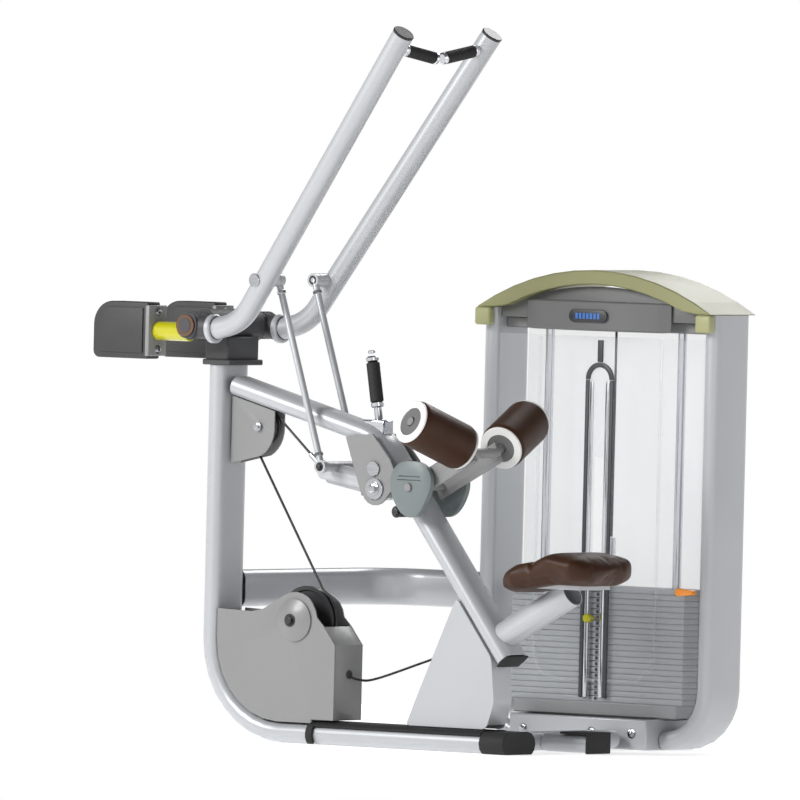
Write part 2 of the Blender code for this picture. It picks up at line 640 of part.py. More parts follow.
def make_pivot_head():
    low = COLUMN_TOP + GAP
    flange = block((-0.036, -0.075, low), (0.062, 0.075, PIVOT_HEAD_Z), 0.003, 1)
    head = finish("pivot_head", flange, "header")
    mast = block((-0.030, -0.070, PIVOT_HEAD_Z - 0.002), (0.050, 0.070, PIVOT[1] - 0.030), 0.004, 1)
    join_tools = [finish("mast_tool", mast, "header")]
    outer = HUB_Y - HUB_LONG / 2 - 0.001
    barrel = rod((PIVOT[0], -outer, PIVOT[1]), (PIVOT[0], outer, PIVOT[1]), 0.046, 20)
    join_tools.append(finish("barrel_tool", barrel, "header"))
    reach = HUB_Y + HUB_LONG / 2 + 0.008
    axle = rod((PIVOT[0], -reach, PIVOT[1]), (PIVOT[0], reach, PIVOT[1]), AXLE_R, 20)
    join_tools.append(finish("axle_tool", axle, "header"))
    join_or_cut(head, join_tools, "UNION")


def make_link(hand, side):
    top = in_plane(LINK_TOP, side * LINK_Y)
    foot = in_plane(LINK_FOOT, side * LINK_Y)
    link = finish(hand + "_push_rod", rod(top, foot, LINK_R, 12), "frame", top)
    half = Vector((0, LINK_EYE / 2, 0))
    tools = []
    for tag, spot in (("top", top), ("foot", foot)):
        eye = rod(spot - half, spot + half, 0.019, 14)
        tools.append(finish(f"{hand}_{tag}_eye_tool", eye, "frame", top))
    join_or_cut(link, tools, "UNION")


# ---------------------------------------------------------------- thigh pads
def make_thigh_pads():
    pivot = in_plane(THIGH_PIVOT)
    axle = cross_rod(pivot, COVER_Y + COVER_THICK + 0.0055, 0.011)
    hole = finish("beam_bore", cross_rod(pivot, 0.2, 0.0122), "frame")
    join_or_cut(bpy.data.objects["sloped_beam"], [hole], "DIFFERENCE")
    frame = finish("thigh_pad_frame", axle, "plate", pivot)
    tools = []
    for side in (-1, 1):
        inside = Vector((ROLLER_IN[0], side * ROLLER_IN[1], ROLLER_IN[2]))
        outside = Vector((ROLLER_OUT[0], side * ROLLER_OUT[1], ROLLER_OUT[2]))
        foot = pivot + Vector((0, side * WEB_Y, 0))
        elbow = Vector((ROLLER_IN[0] - 0.006, side * WEB_Y, ROLLER_IN[2] - 0.002))
        arm = [foot - Vector((0.02, 0, 0.01)), elbow + Vector((0.012, 0, 0.006))]
        web = sweep(arm, oval(0.060, 0.010, 3), Vector((-0.55, 0, 0.83)))
        tools.append(finish(f"thigh_web_{side}", web, "plate", pivot))
        along = (outside - inside).normalized()
        bar = rod(inside - along * 0.020, outside + along * 0.004, 0.012, 12)
        tools.append(finish(f"thigh_bar_{side}", bar, "plate", pivot))
    bridge = rod((ROLLER_IN[0], -WEB_Y, ROLLER_IN[2]), (ROLLER_IN[0], WEB_Y, ROLLER_IN[2]), 0.014, 12)
    tools.append(finish("thigh_bridge", bridge, "plate", pivot))
    join_or_cut(frame, tools, "UNION")
    for hand, side in (("left", -1), ("right", 1)):
        make_roller(hand, side)
        make_cover(hand, side, pivot)


def make_roller(hand, side):
    inside = Vector((ROLLER_IN[0], side * ROLLER_IN[1], ROLLER_IN[2]))
    outside = Vector((ROLLER_OUT[0], side * ROLLER_OUT[1], ROLLER_OUT[2]))
    along = (outside - inside).normalized()
    start = inside + along * ROLLER_START
    stop = outside + along * 0.002
    pad = rod(start, stop, ROLLER_R, 24, 0.0128)
    finish(hand + "_thigh_roller", pad, "pad", start)


def make_cover(hand, side, pivot):
    low, high = sorted((side * COVER_Y, side * (COVER_Y + COVER_THICK)))
    outline = []
    for turn in (math.radians(d) for d in range(0, 360, 15)):
        reach = 0.93 + 0.07 * math.cos(3 * (turn + math.pi / 2))
        outline.append((pivot.x + COVER_SIZE[0] * reach * math.cos(turn),
                        pivot.z + COVER_SIZE[1] * reach * math.sin(turn)))
    cover = finish(hand + "_pivot_cover", prism(outline, low, high), "cover", pivot)
    hole = cross_rod(pivot, 0.2, 0.0115)
    join_or_cut(cover, [finish(hand + "_cover_bore", hole, "cover", pivot)], "DIFFERENCE")


def make_lever():
    foot, top = in_plane(LEVER_FOOT), in_plane(LEVER_TOP)
    up = (top - foot).normalized()
    bar = rod(foot + up * 0.014, foot + up * 0.060, 0.011, 12)
    stem = finish("adjust_lever", bar, "chrome")
    pad = block((foot.x - 0.045, -0.022, foot.z - 0.030), (foot.x + 0.030, 0.022, foot.z + 0.026), 0.003, 1)
    join_or_cut(stem, [finish("lever_foot_tool", pad, "chrome")], "UNION")
    join_or_cut(stem, [beam_room("lever_room")], "DIFFERENCE")
    finish("lever_grip", rod(foot + up * 0.0605, top - up * 0.010, 0.0185, 16), "rubber")
    finish("release_button", rod(top - up * 0.003, top + up * 0.006, 0.010, 12), "chrome", top)


# ---------------------------------------------------------------- weight tower
def make_tower_frames():
    low = TOWER_BASE_Z
    for name, x, side in (("tower_left_frame", TOWER_LEFT, 1), ("tower_right_frame", TOWER_RIGHT, -1)):
        stop = 0.544 if side > 0 else 1.025
        corners = [(x, TOWER_Y, TOWER_TOP), (x, TOWER_Y, low - 0.016), (stop, TOWER_Y, low - 0.016)]
        path = rounded_path(corners, [TOWER_BEND])
        finish(name, hollow_oval(path, TOWER_DEEP, TOWER_THICK, (0, 1, 0)), "frame")


BOX_TOP = 0.085


def make_tower_base():
    far = TOWER_Y + TOWER_DEEP / 2 + 0.010
    box = block((0.544 + GAP, 0.600, 0.0), (1.0225 - GAP, far, BOX_TOP), 0.004, 1)
    shell = finish("tower_base", box, "frame")
    room = block((0.550, 0.606, 0.008), (1.016, TOWER_Y + TOWER_DEEP / 2 + 0.004, 0.2))
    join_or_cut(shell, [finish("tower_base_room", room, "frame")], "DIFFERENCE")
    low = BOX_TOP + GAP
    finish("stack_base", block((0.500, 0.675, low), (1.066, 0.795, STACK_BOTTOM - GAP), 0.003, 1), "plate")


def make_tower_head():
    left = TOWER_LEFT - TOWER_THICK / 2
    right = TOWER_RIGHT + TOWER_THICK / 2
    half = (right - left) / 2
    rise = TOWER_COVER_PEAK - TOWER_TOP
    radius = (half * half + rise * rise) / (2 * rise)
    centre = ((left + right) / 2, TOWER_COVER_PEAK - radius)
    swing = math.degrees(math.asin(half / radius))
    outer = arc(centre, radius, 90 + swing, 90 - swing, 12)
    inner = arc(centre, radius - 0.040, 90 - swing * 0.93, 90 + swing * 0.93, 12)
    foot = TOWER_TOP + GAP
    outline = [(x, max(z, foot)) for x, z in outer] + [(x, max(z, foot)) for x, z in inner]
    tidy = [p for i, p in enumerate(outline) if math.dist(p, outline[i - 1]) > 1e-4]
    finish("tower_top_cover", prism(tidy, TOWER_Y - 0.110, TOWER_Y + 0.100), "khaki")
    wide = 0.508 / 2
    low, high = HEADER_Z
    front = 0.6555
    bulge = [(STACK_X - wide, front), (STACK_X + wide, front)]
    reach = 0.050
    bow = (wide * wide + reach * reach) / (2 * reach)
    turn = math.degrees(math.asin(wide / bow))
    bulge += arc((STACK_X, front - reach + bow), bow, -90 + turn, -90 - turn, 12)[1:-1]
    finish("header_panel", prism(bulge, low, high, "Z"), "header")
    bar = block((left + TOWER_THICK + GAP, 0.700, 1.150), (right - TOWER_THICK - GAP, 0.775, 1.180), 0.003, 1)
    finish("tower_top_bar", bar, "plate")


def make_shield():
    inner = TOWER_THICK / 2 + GAP
    low_x, high_x = TOWER_LEFT + inner, TOWER_RIGHT - inner
    low = TOWER_BASE_Z - 0.016 + TOWER_BEND
    bend = TOWER_BEND - inner
    dip = math.degrees(math.asin((low - 0.090) / bend))
    left = arc((TOWER_LEFT + TOWER_BEND, low), bend, 180, 180 + dip, 6)
    right = arc((TOWER_RIGHT - TOWER_BEND, low), bend, -dip, 0, 6)
    sheet = left + right
    front = finish("front_shield", prism(sheet + [(high_x, 1.134), (low_x, 1.134)], SHIELD_Y,
                                         SHIELD_Y + SHIELD_THICK), "shield")
    slot = block((STACK_X - SLOT_HALF, 0.6, STACK_BOTTOM + 0.005), (STACK_X + SLOT_HALF, 0.7, SLOT_TOP))
    hole = block((SHIELD_HOLE[0] - 0.012, 0.6, SHIELD_HOLE[1] - 0.015),
                 (SHIELD_HOLE[0] + 0.012, 0.7, SHIELD_HOLE[1] + 0.025))
    tools = [finish("pin_slot", slot, "shield"), finish("cable_slot", hole, "shield")]
    join_or_cut(front, tools, "DIFFERENCE")
    finish("rear_panel", prism(sheet + [(high_x, TOWER_TOP), (low_x, TOWER_TOP)], REAR_PANEL_Y,
                               REAR_PANEL_Y + SHIELD_THICK), "plate")


def plate_pack(name, count, bottom, pivot=(0, 0, 0)):
    """A block of plates in one piece, with a groove between each two."""
    front, back = STACK_Y - PLATE_DEEP / 2, STACK_Y + PLATE_DEEP / 2
    inset = 0.003
    outline = []
    for i in range(count):
        low = bottom + i * PLATE_PITCH
        high = low + PLATE_PITCH - PLATE_JOINT
        outline += [(front, low), (front, high)]
        if i < count - 1:
            outline += [(front + inset, high), (front + inset, high + PLATE_JOINT)]
    top = bottom + count * PLATE_PITCH - PLATE_JOINT
    outline += [(back, top), (back, bottom)]
    bm = prism(outline, STACK_X - PLATE_WIDE / 2, STACK_X + PLATE_WIDE / 2, "X")
    pack = finish(name, bm, "dark", pivot)
    tools = []
    for i, (shift, radius) in enumerate(((-GUIDE_X, ROD_HOLE), (0.0, ROD_HOLE), (GUIDE_X, ROD_HOLE))):
        x = STACK_X + shift
        hole = rod((x, STACK_Y, bottom - 0.1), (x, STACK_Y, top + 0.1), radius, 12)
        tools.append(finish(f"{name}_hole_{i}", hole, "dark", pivot))
    join_or_cut(pack, tools, "DIFFERENCE")
    return pack


def make_stack():
    resting = PLATE_COUNT - LIFTED_PLATES
    split = STACK_BOTTOM + resting * PLATE_PITCH
    plate_pack("resting_plates", resting, STACK_BOTTOM)
    base = (STACK_X, STACK_Y, split)
    plate_pack("lifted_plates", LIFTED_PLATES, split, base)
    low = STACK_BOTTOM + 0.004
    top = STACK_BOTTOM + PLATE_COUNT * PLATE_PITCH + 0.133
    bar = rod((STACK_X, STACK_Y, low), (STACK_X, STACK_Y, top), 0.0125, 12)
    selector = finish("selector_rod", bar, "chrome", base)
    pin_z = split + PLATE_PITCH / 2 - PLATE_JOINT
    hole = rod((STACK_X, 0.5, pin_z), (STACK_X, 0.9, pin_z), 0.0052, 10)
    cutter = finish("pin_bore", hole, "chrome", base)
    join_or_cut(selector, [cutter], "DIFFERENCE")
    join_or_cut(bpy.data.objects["lifted_plates"], [cutter], "DIFFERENCE")
    front = STACK_Y - PLATE_DEEP / 2
    pin = rod((STACK_X, front - 0.055, pin_z), (STACK_X, STACK_Y + 0.014, pin_z), 0.0045, 10)
    finish("selector_pin", pin, "yellow", (STACK_X, front, pin_z))
    for name, side in (("left_guide_rod", -1), ("right_guide_rod", 1)):
        x = STACK_X + side * GUIDE_X
        bar = rod((x, STACK_Y, STACK_BOTTOM), (x, STACK_Y, 1.150 - GAP), GUIDE_ROD, 12)
        finish(name, bar, "chrome")


def make_increment_lever():
    x = TOWER_RIGHT - 0.062
    bar = block((x - 0.030, 0.6440, 0.428), (x + 0.030, 0.6675, 0.450), 0.004, 1)
    finish("increment_lever", bar, "orange", (x - 0.020, 0.656, 0.439))


# ---------------------------------------------------------------- the machine
def main():
    clear_scene()
    make_column()
    make_base_rubber()
    make_rear_base()
    make_crossbar()
    make_beam()
    make_seat_support()
    make_seat()
    make_upper_pulley()
    make_lower_pulley()
    make_cables()
    make_rocker()
    make_pivot_head()
    for hand, side in (("left", -1), ("right", 1)):
        make_arm(hand, side)
        make_link(hand, side)
    make_thigh_pads()
    make_lever()
    make_tower_frames()
    make_tower_base()
    make_tower_head()
    make_shield()
    make_stack()
    make_increment_lever()


main()
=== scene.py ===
"""Looks for the lat pulldown machine: painted tubes, castings, stitched pads and a see-through tower."""
import json
import math

import bmesh
import bpy
from bpy.props import FloatProperty, PointerProperty, StringProperty
from mathutils import Matrix, Vector


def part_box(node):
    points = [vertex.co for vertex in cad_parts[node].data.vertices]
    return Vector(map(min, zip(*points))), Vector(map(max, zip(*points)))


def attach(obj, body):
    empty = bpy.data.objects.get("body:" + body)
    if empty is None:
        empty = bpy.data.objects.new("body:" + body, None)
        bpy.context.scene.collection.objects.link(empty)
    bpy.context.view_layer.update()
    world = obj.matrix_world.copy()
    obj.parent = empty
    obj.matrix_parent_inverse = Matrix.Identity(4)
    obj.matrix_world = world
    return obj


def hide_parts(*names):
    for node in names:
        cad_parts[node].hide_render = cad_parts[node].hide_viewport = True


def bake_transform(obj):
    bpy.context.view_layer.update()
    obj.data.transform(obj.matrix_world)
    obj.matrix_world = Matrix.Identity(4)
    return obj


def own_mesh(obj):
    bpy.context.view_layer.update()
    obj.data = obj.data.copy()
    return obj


bl_info = {
    "name": "Lat Pulldown Machine",
    "version": (1, 0, 0),
    "blender": (4, 5, 0),
    "location": "3D View > Sidebar > Pulldown",
    "description": "Builds the visible surfaces of a selectorised pulldown machine",
    "category": "Object",
}

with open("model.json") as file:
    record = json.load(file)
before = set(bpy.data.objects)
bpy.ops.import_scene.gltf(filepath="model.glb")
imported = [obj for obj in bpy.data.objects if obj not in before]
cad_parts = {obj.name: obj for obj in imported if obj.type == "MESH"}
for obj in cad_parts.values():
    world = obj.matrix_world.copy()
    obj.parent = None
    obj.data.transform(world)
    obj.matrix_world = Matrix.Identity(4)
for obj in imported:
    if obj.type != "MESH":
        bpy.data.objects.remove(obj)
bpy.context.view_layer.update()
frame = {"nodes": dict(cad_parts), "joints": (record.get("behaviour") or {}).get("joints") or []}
JOINTS = {joint["name"]: joint for joint in frame["joints"]}
MM = 0.001
GAP = 0.3 * MM
UP = Vector((0, 0, 1))
ACROSS = Vector((0, 1, 0))
CABLE_R = 0.0035
BASE_TUBE_R = 0.0275
PLATE_PITCH = 0.016
HANDLE_TILT = math.radians(9.0)
HANDLE_BELOW_TOP = 0.045
# Points of the arm's centre line as (x, z): its two ends, the bend between them and the push rod's boss
ARM_FOOT, ARM_KNEE, ARM_TOP, ARM_BOSS = (-0.429, 1.134), (-0.340, 1.155), (0.236, 1.959), (-0.269, 1.273)
ROD_FOOT = (-0.103, 0.765)


# ---- sizes from the frame
def span(node):
    low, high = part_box(node)
    return Vector(low), Vector(high)


def pivot_of(joint):
    return Vector(JOINTS[joint]["pos_m"])


ARM_PIVOT = {"left": pivot_of("left_arm_swing"), "right": pivot_of("right_arm_swing")}
LINK_TOP = {"left": pivot_of("left_rod_pivot"), "right": pivot_of("right_rod_pivot")}
SIDE = {"left": -1.0, "right": 1.0}
ROCKER = pivot_of("rocker_swing")
UPPER_PULLEY = pivot_of("upper_pulley_spin")
LOWER_PULLEY = pivot_of("lower_pulley_spin")
THIGH_PIVOT = pivot_of("thigh_pad_tilt")


# ---- colours and materials
def linear(hex_colour):
    """sRGB hex to a linear RGBA colour."""
    parts = [int(hex_colour[i:i + 2], 16) / 255 for i in (1, 3, 5)]
    return (*[c / 12.92 if c <= 0.04045 else ((c + 0.055) / 1.055) ** 2.4 for c in parts], 1.0)


def add_node(tree, kind, settings=(), links=()):
    """Adds one node, sets its inputs or attributes, and links sockets into it."""
    node = tree.nodes.new(kind)
    for key, value in dict(settings).items():
        if key in node.inputs:
            node.inputs[key].default_value = value
        else:
            setattr(node, key, value)
    for key, socket in dict(links).items():
        tree.links.new(socket, node.inputs[key])
    return node


def surface(name, colour, roughness, metallic=0.0, **extra):
    """A Principled material with plain values. Returns the tree, the shader and the material."""
    mat = bpy.data.materials.new(name)
    mat.use_nodes = True
    tree = mat.node_tree
    shader = tree.nodes["Principled BSDF"]
    shader.inputs["Base Color"].default_value = linear(colour)
    shader.inputs["Roughness"].default_value = roughness
    shader.inputs["Metallic"].default_value = metallic
    for key, value in extra.items():
        shader.inputs[key.replace("_", " ")].default_value = value
    return tree, shader, mat


def object_coordinates(tree, stretch=(1, 1, 1)):
    place = add_node(tree, "ShaderNodeTexCoord")
    return add_node(tree, "ShaderNodeMapping", {"Scale": stretch}, {"Vector": place.outputs["Object"]})


def mottle(tree, shader, colour, other, size_mm, low, high, place):
    """Slow colour change between two shades, and a matching change of gloss."""
    cloud = add_node(tree, "ShaderNodeTexNoise", {"Scale": 1000 / size_mm, "Detail": 4.0},
                     {"Vector": place.outputs["Vector"]})
    tint = add_node(tree, "ShaderNodeMix", {"data_type": "RGBA"})
    tint.inputs[6].default_value = linear(colour)
    tint.inputs[7].default_value = linear(other)
    tree.links.new(cloud.outputs["Fac"], tint.inputs[0])
    tree.links.new(tint.outputs[2], shader.inputs["Base Color"])
    gloss = add_node(tree, "ShaderNodeMapRange", {"To Min": low, "To Max": high},
                     {"Value": cloud.outputs["Fac"]})
    tree.links.new(gloss.outputs["Result"], shader.inputs["Roughness"])


def bump(tree, shader, height, strength, depth_mm):
    node = add_node(tree, "ShaderNodeBump", {"Strength": strength, "Distance": depth_mm * MM},
                    {"Height": height})
    tree.links.new(node.outputs["Normal"], shader.inputs["Normal"])


def drifting(name, colour, other, size_mm, gloss, metallic=0.0, stretch=(1, 1, 1), **extra):
    """A surface whose shade and gloss drift slowly. Gloss is the plain roughness, then the drift's ends."""
    tree, shader, mat = surface(name, colour, gloss[0], metallic, **extra)
    place = object_coordinates(tree, stretch)
    mottle(tree, shader, colour, other, size_mm, gloss[1], gloss[2], place)
    return tree, shader, place, mat


def grain(look, size_mm, depth_mm, strength, kind="ShaderNodeTexNoise"):
    """Adds a fine relief to a drifting surface and returns its material."""
    tree, shader, place, mat = look
    texture = add_node(tree, kind, {"Scale": 1000 / size_mm}, {"Vector": place.outputs["Vector"]})
    height = texture.outputs["Distance"] if kind == "ShaderNodeTexVoronoi" else texture.outputs["Fac"]
    bump(tree, shader, height, strength, depth_mm)
    return mat


def powder_coat(name, colour, other, metallic=0.25, gloss=0.34):
    """Powder-coated steel: sprayed dry and baked, which leaves a fine orange peel under a soft gloss."""
    look = drifting(name, colour, other, 260, (gloss, gloss - 0.03, gloss + 0.05), metallic,
                    Coat_Weight=0.25, Coat_Roughness=0.18)
    return grain(look, 8.0, 0.04, 0.05)     # real peel is about 1 mm, drawn coarser to show


def textured_paint(name, colour, other):
    """Wrinkle paint on cast iron: a coarse sandy skin that hides the mould's surface."""
    look = drifting(name, colour, other, 90, (0.55, 0.48, 0.64), 0.1)
    return grain(look, 3.0, 0.35, 0.5, "ShaderNodeTexVoronoi")


def moulded_rubber(name, colour):
    """Moulded natural rubber: matt black with a fine pebble from the mould."""
    look = drifting(name, colour, "#1c1c1c", 60, (0.72, 0.62, 0.82))
    return grain(look, 1.8, 0.20, 0.4, "ShaderNodeTexVoronoi")


def upholstery_vinyl(name, colour, other):
    """Expanded vinyl on foam: embossed hide grain, soft sheen and slightly worn high spots."""
    tree, shader, place, mat = drifting(name, colour, other, 55, (0.45, 0.38, 0.52), Specular_IOR_Level=0.3)
    cells = add_node(tree, "ShaderNodeTexVoronoi", {"Scale": 1000 / 4.5, "feature": "DISTANCE_TO_EDGE"},
                     {"Vector": place.outputs["Vector"]})
    edge = add_node(tree, "ShaderNodeMapRange", {"From Max": 0.18}, {"Value": cells.outputs["Distance"]})
    bump(tree, shader, edge.outputs["Result"], 0.45, 0.25)
    return mat


def bright_chrome(name, colour):
    """Electroplated chrome on polished steel: mirror bright, with faint polishing lines round it."""
    return drifting(name, colour, "#c9cbd0", 30, (0.10, 0.06, 0.17), 1.0, (1, 1, 12))[-1]


def moulded_abs(name, colour, other, gloss=0.42):
    """Injection-moulded ABS: an even spark-eroded texture and a low plastic gloss."""
    return grain(drifting(name, colour, other, 200, (gloss, gloss - 0.04, gloss + 0.07)), 1.6, 0.10, 0.35)


def enamel(name, colour, other):
    """Sprayed gloss enamel: smooth and wet looking, with a slight drift of shade."""
    return drifting(name, colour, other, 120, (0.28, 0.24, 0.33), Coat_Weight=0.6, Coat_Roughness=0.08)[-1]


def clear_polycarbonate(name):
    """Extruded polycarbonate sheet: clear, glossy, with a faint grey cast and wiped-on haze."""
    return drifting(name, "#d3d7da", "#c6cbcf", 300, (0.12, 0.08, 0.2), Alpha=0.13)[-1]


def coated_cable(name):
    """Nylon-coated wire rope: black jacket with the strands' lay showing through."""
    tree, shader, mat = surface(name, "#141414", 0.4)
    place = object_coordinates(tree)
    wave = add_node(tree, "ShaderNodeTexWave", {"Scale": 1000 / 6 / 6.28, "bands_direction": "DIAGONAL"},
                    {"Vector": place.outputs["Vector"]})
    bump(tree, shader, wave.outputs["Fac"], 0.7, 0.4)
    return mat


MATERIALS = {}


def make_materials(look):
    MATERIALS.update(
        frame_paint=powder_coat("powder_coated_steel_silver", look.paint, "#aaacaf"),
        bracket_steel=powder_coat("powder_coated_steel_grey", "#868686", "#7c7c7c", 0.1, 0.45),
        casting_grey=textured_paint("wrinkle_painted_casting", "#424244", "#3a3a3c"),
        black_rubber=moulded_rubber("moulded_black_rubber", "#0f0f0f"),
        pad_vinyl=upholstery_vinyl("embossed_brown_vinyl", look.vinyl, "#2e1601"),
        chrome_steel=bright_chrome("chrome_plated_steel", "#dcdde0"),
        stack_iron=textured_paint("painted_cast_iron_plate", "#a4a6a8", "#94969a"),
        weight_iron=textured_paint("painted_counterweight_iron", "#383838", "#303030"),
        yellow_paint=enamel("gloss_yellow_enamel", "#bab600", "#aaa500"),
        orange_plastic=enamel("gloss_orange_nylon", "#ff9900", "#f08c00"),
        khaki_plastic=moulded_abs("khaki_abs", "#a3a377", "#98986c"),
        header_plastic=moulded_abs("dark_grey_abs", "#6b6b6b", "#616161"),
        cover_plastic=moulded_abs("grey_green_abs", "#707878", "#687070"),
        clear_shield=clear_polycarbonate("clear_polycarbonate"),
        pulley_nylon=moulded_abs("machined_black_nylon", "#2c2c2e", "#232325", 0.35),
        cable_steel=coated_cable("nylon_coated_wire_rope"),
        foam_end=moulded_abs("white_polypropylene", "#e2e2e0", "#d8d8d6", 0.4),
        cover_top=moulded_abs("olive_abs", "#8e8e64", "#84845a"),
        display=enamel("smoked_acrylic", "#26282c", "#202226"),
        segment=enamel("blue_segment", "#3c78c8", "#3268b4"),
        # Charcoal ABS for the channel parts and the cover ribs; the same material is also the painted shade
        # of the plates' pin holes.
        dark_channel=moulded_abs("charcoal_abs_and_hole_shade", "#3e4042", "#36383a"),
        bolt_zinc=bright_chrome("zinc_plated_bolt", "#a8a9ac"),
        end_brown=enamel("orange_brown_nylon", "#5c3c22", "#50341e"),
    )


# ---- shapes
def carry(start, along):
    """Matrix that takes +Z to a direction and the origin to start."""
    turn = UP.rotation_difference(Vector(along).normalized()).to_matrix().to_4x4()
    return Matrix.Translation(Vector(start)) @ turn


def turned(profile, start, along, steps=40):
    """Spins a closed profile of (distance along, radius), with both in metres."""
    bm = bmesh.new()
    row = [bm.verts.new((0.0, r, s)) for s, r in profile]
    edges = [bm.edges.new((a, b)) for a, b in zip(row, row[1:] + row[:1])]
    bmesh.ops.spin(bm, geom=row + edges, cent=(0, 0, 0), axis=(0, 0, 1), angle=2 * math.pi,
                   steps=steps, use_merge=True)
    bmesh.ops.remove_doubles(bm, verts=bm.verts, dist=1e-6)
    bmesh.ops.transform(bm, matrix=carry(start, along), verts=bm.verts)
    return bm


def disc(start, along, radius, thick, edge=0.0012, steps=40):
    """Solid round piece with eased edges."""
    return ring(start, along, radius, 0, thick, min(edge, thick / 3), steps)


def ring(start, along, outer, inner, thick, edge=0.0010, steps=40):
    profile = [(0, inner), (0, outer - edge), (edge, outer), (thick - edge, outer), (thick, outer - edge),
               (thick, inner)]
    return turned(profile, start, along, steps)


def soften(bm, edges, size, segments):
    """Bevels some edges of a bmesh."""
    bmesh.ops.bevel(bm, geom=edges, offset=size, segments=segments, affect="EDGES", profile=0.5, material=-1)


def bolt(start, along, radius):
    """Hex head on a round washer."""
    head = radius * 0.7
    bm = turned([(0, 0), (0, radius * 1.5), (0.0015, radius * 1.5), (0.0015, 0)], start, along, 24)
    hexagon = bmesh.new()
    bmesh.ops.create_cone(hexagon, cap_ends=True, segments=6, radius1=radius, radius2=radius, depth=head)
    bmesh.ops.translate(hexagon, verts=hexagon.verts, vec=(0, 0, head / 2 + 0.0014))
    rim = [e for e in hexagon.edges if all(v.co.z > head for v in e.verts)]
    soften(hexagon, rim, radius * 0.12, 2)
    bmesh.ops.transform(hexagon, matrix=carry(start, along), verts=hexagon.verts)
    return together(bm, hexagon)


def together(*shapes):
    """Several shapes in one bmesh."""
    whole = bmesh.new()
    for shape in shapes:
        part = bpy.data.meshes.new("part")
        shape.to_mesh(part)
        shape.free()
        whole.from_mesh(part)
        bpy.data.meshes.remove(part)
    return whole


def slab(outline, low, high, axis=1, edge=0.0, segments=3):
    """Extrudes an outline of two coordinates along an axis, and eases every edge."""
    def spot(a, b, depth):
        flat = [a, b]
        flat.insert(axis, depth)
        return flat
    bm = bmesh.new()
    face = bm.faces.new([bm.verts.new(spot(a, b, low)) for a, b in outline])
    grown = bmesh.ops.extrude_face_region(bm, geom=[face])
    shift = Vector(spot(0, 0, high - low))
    bmesh.ops.translate(bm, vec=shift, verts=[v for v in grown["geom"] if isinstance(v, bmesh.types.BMVert)])
    if edge:
        sharp = [e for e in bm.edges if len(e.link_faces) == 2 and e.calc_face_angle(0) > math.radians(40)]
        soften(bm, sharp, edge, segments)
    return bm


def box(low, high, edge=0.002, segments=3):
    outline = [(low[0], low[2]), (high[0], low[2]), (high[0], high[2]), (low[0], high[2])]
    return slab(outline, low[1], high[1], 1, edge, segments)


def arc(centre, radius, first, last, steps):
    turns = [math.radians(first + (last - first) * i / steps) for i in range(steps + 1)]
    return [(centre[0] + radius * math.cos(t), centre[1] + radius * math.sin(t)) for t in turns]


def rounded(points, bend, steps=14):
    """A path with its inner corners rounded to one radius."""
    path = [points[0]]
    for before, corner, after in zip(points, points[1:], points[2:]):
        back, on = (before - corner).normalized(), (after - corner).normalized()
        half = back.angle(on) / 2
        reach = bend / math.tan(half)
        centre = corner + (back + on).normalized() * bend / math.sin(half)
        first = corner + back * reach - centre
        last = corner + on * reach - centre
        axis, sweep = first.cross(last).normalized(), first.angle(last)
        path += [centre + Matrix.Rotation(sweep * i / steps, 3, axis) @ first for i in range(steps + 1)]
    return path + [points[-1]]


def full_turn(count):
    """Angles that divide one turn evenly."""
    return [2 * math.pi * i / count for i in range(count)]


def skin(bm, rings):
    """Joins rings of vertices, each to the next, into one closed surface."""
    for near, far in zip(rings, rings[1:]):
        for i in range(len(near)):
            j = (i + 1) % len(near)
            bm.faces.new((near[i], near[j], far[j], far[i]))
    bm.faces.new(rings[0][::-1])
    bm.faces.new(rings[-1])
    return bm


def bent_tube(points, bend, radius, steps):
    """Sweeps a circle along a bent path lying in one plane, and closes its ends."""
    path = rounded([Vector(p) for p in points], bend)
    side = (path[1] - path[0]).cross(path[-1] - path[-2]).normalized()
    section = [(radius * math.cos(a), radius * math.sin(a)) for a in full_turn(steps)]
    bm = bmesh.new()
    rings = []
    for i, spot in enumerate(path):
        back = (spot - path[i - 1]).normalized() if i else (path[1] - spot).normalized()
        on = (path[i + 1] - spot).normalized() if i + 1 < len(path) else back
        along = (back + on).normalized()
        other = along.cross(side).normalized()
        stretch = 1 / max(0.5, along.dot(on))
        rings.append([bm.verts.new(spot + side * a + other * b * stretch) for a, b in section])
    return skin(bm, rings)


def cord(points, radius, sides=12):
    """Round cord through points given in order, without twist."""
    spots = [Vector(p) for p in points]
    bm = bmesh.new()
    rings = []
    side = ACROSS
    for before, spot, after in zip(spots[:1] + spots, spots, spots[1:] + spots[-1:]):
        along = (after - before).normalized()
        side = (side - along * side.dot(along)).normalized()
        other = along.cross(side)
        rings.append([bm.verts.new(spot + (side * math.cos(t) + other * math.sin(t)) * radius)
                      for t in full_turn(sides)])
    return skin(bm, rings)


def through(points, steps=8):
    """Smooth curve through points, which starts at the second and ends at the last but one."""
    spots = [Vector(p) for p in points]
    curve = []
    for a, b, c, d in zip(spots, spots[1:], spots[2:], spots[3:]):
        for i in range(steps):
            t = i / steps
            curve.append(0.5 * (2 * b + (c - a) * t + (2 * a - 5 * b + 4 * c - d) * t * t
                                + (3 * b - a - 3 * c + d) * t ** 3))
    return curve + [spots[-2]]


def new_object(name, data):
    obj = bpy.data.objects.new(name, data)
    bpy.context.collection.objects.link(obj)
    return obj


def piece(name, bm, finish, body="frame", replaces=(), angle=35):
    """Finishes a mesh as a named piece that rides on a body, or on none."""
    bmesh.ops.recalc_face_normals(bm, faces=bm.faces)
    mesh = bpy.data.meshes.new(name)
    bm.to_mesh(mesh)
    bm.free()
    mesh.shade_smooth()
    mesh.set_sharp_from_angle(angle=math.radians(angle))
    mesh.materials.append(MATERIALS[finish])
    obj = new_object(name, mesh)
    if body:
        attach(obj, body)
    if replaces:
        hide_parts(*replaces)
    return obj


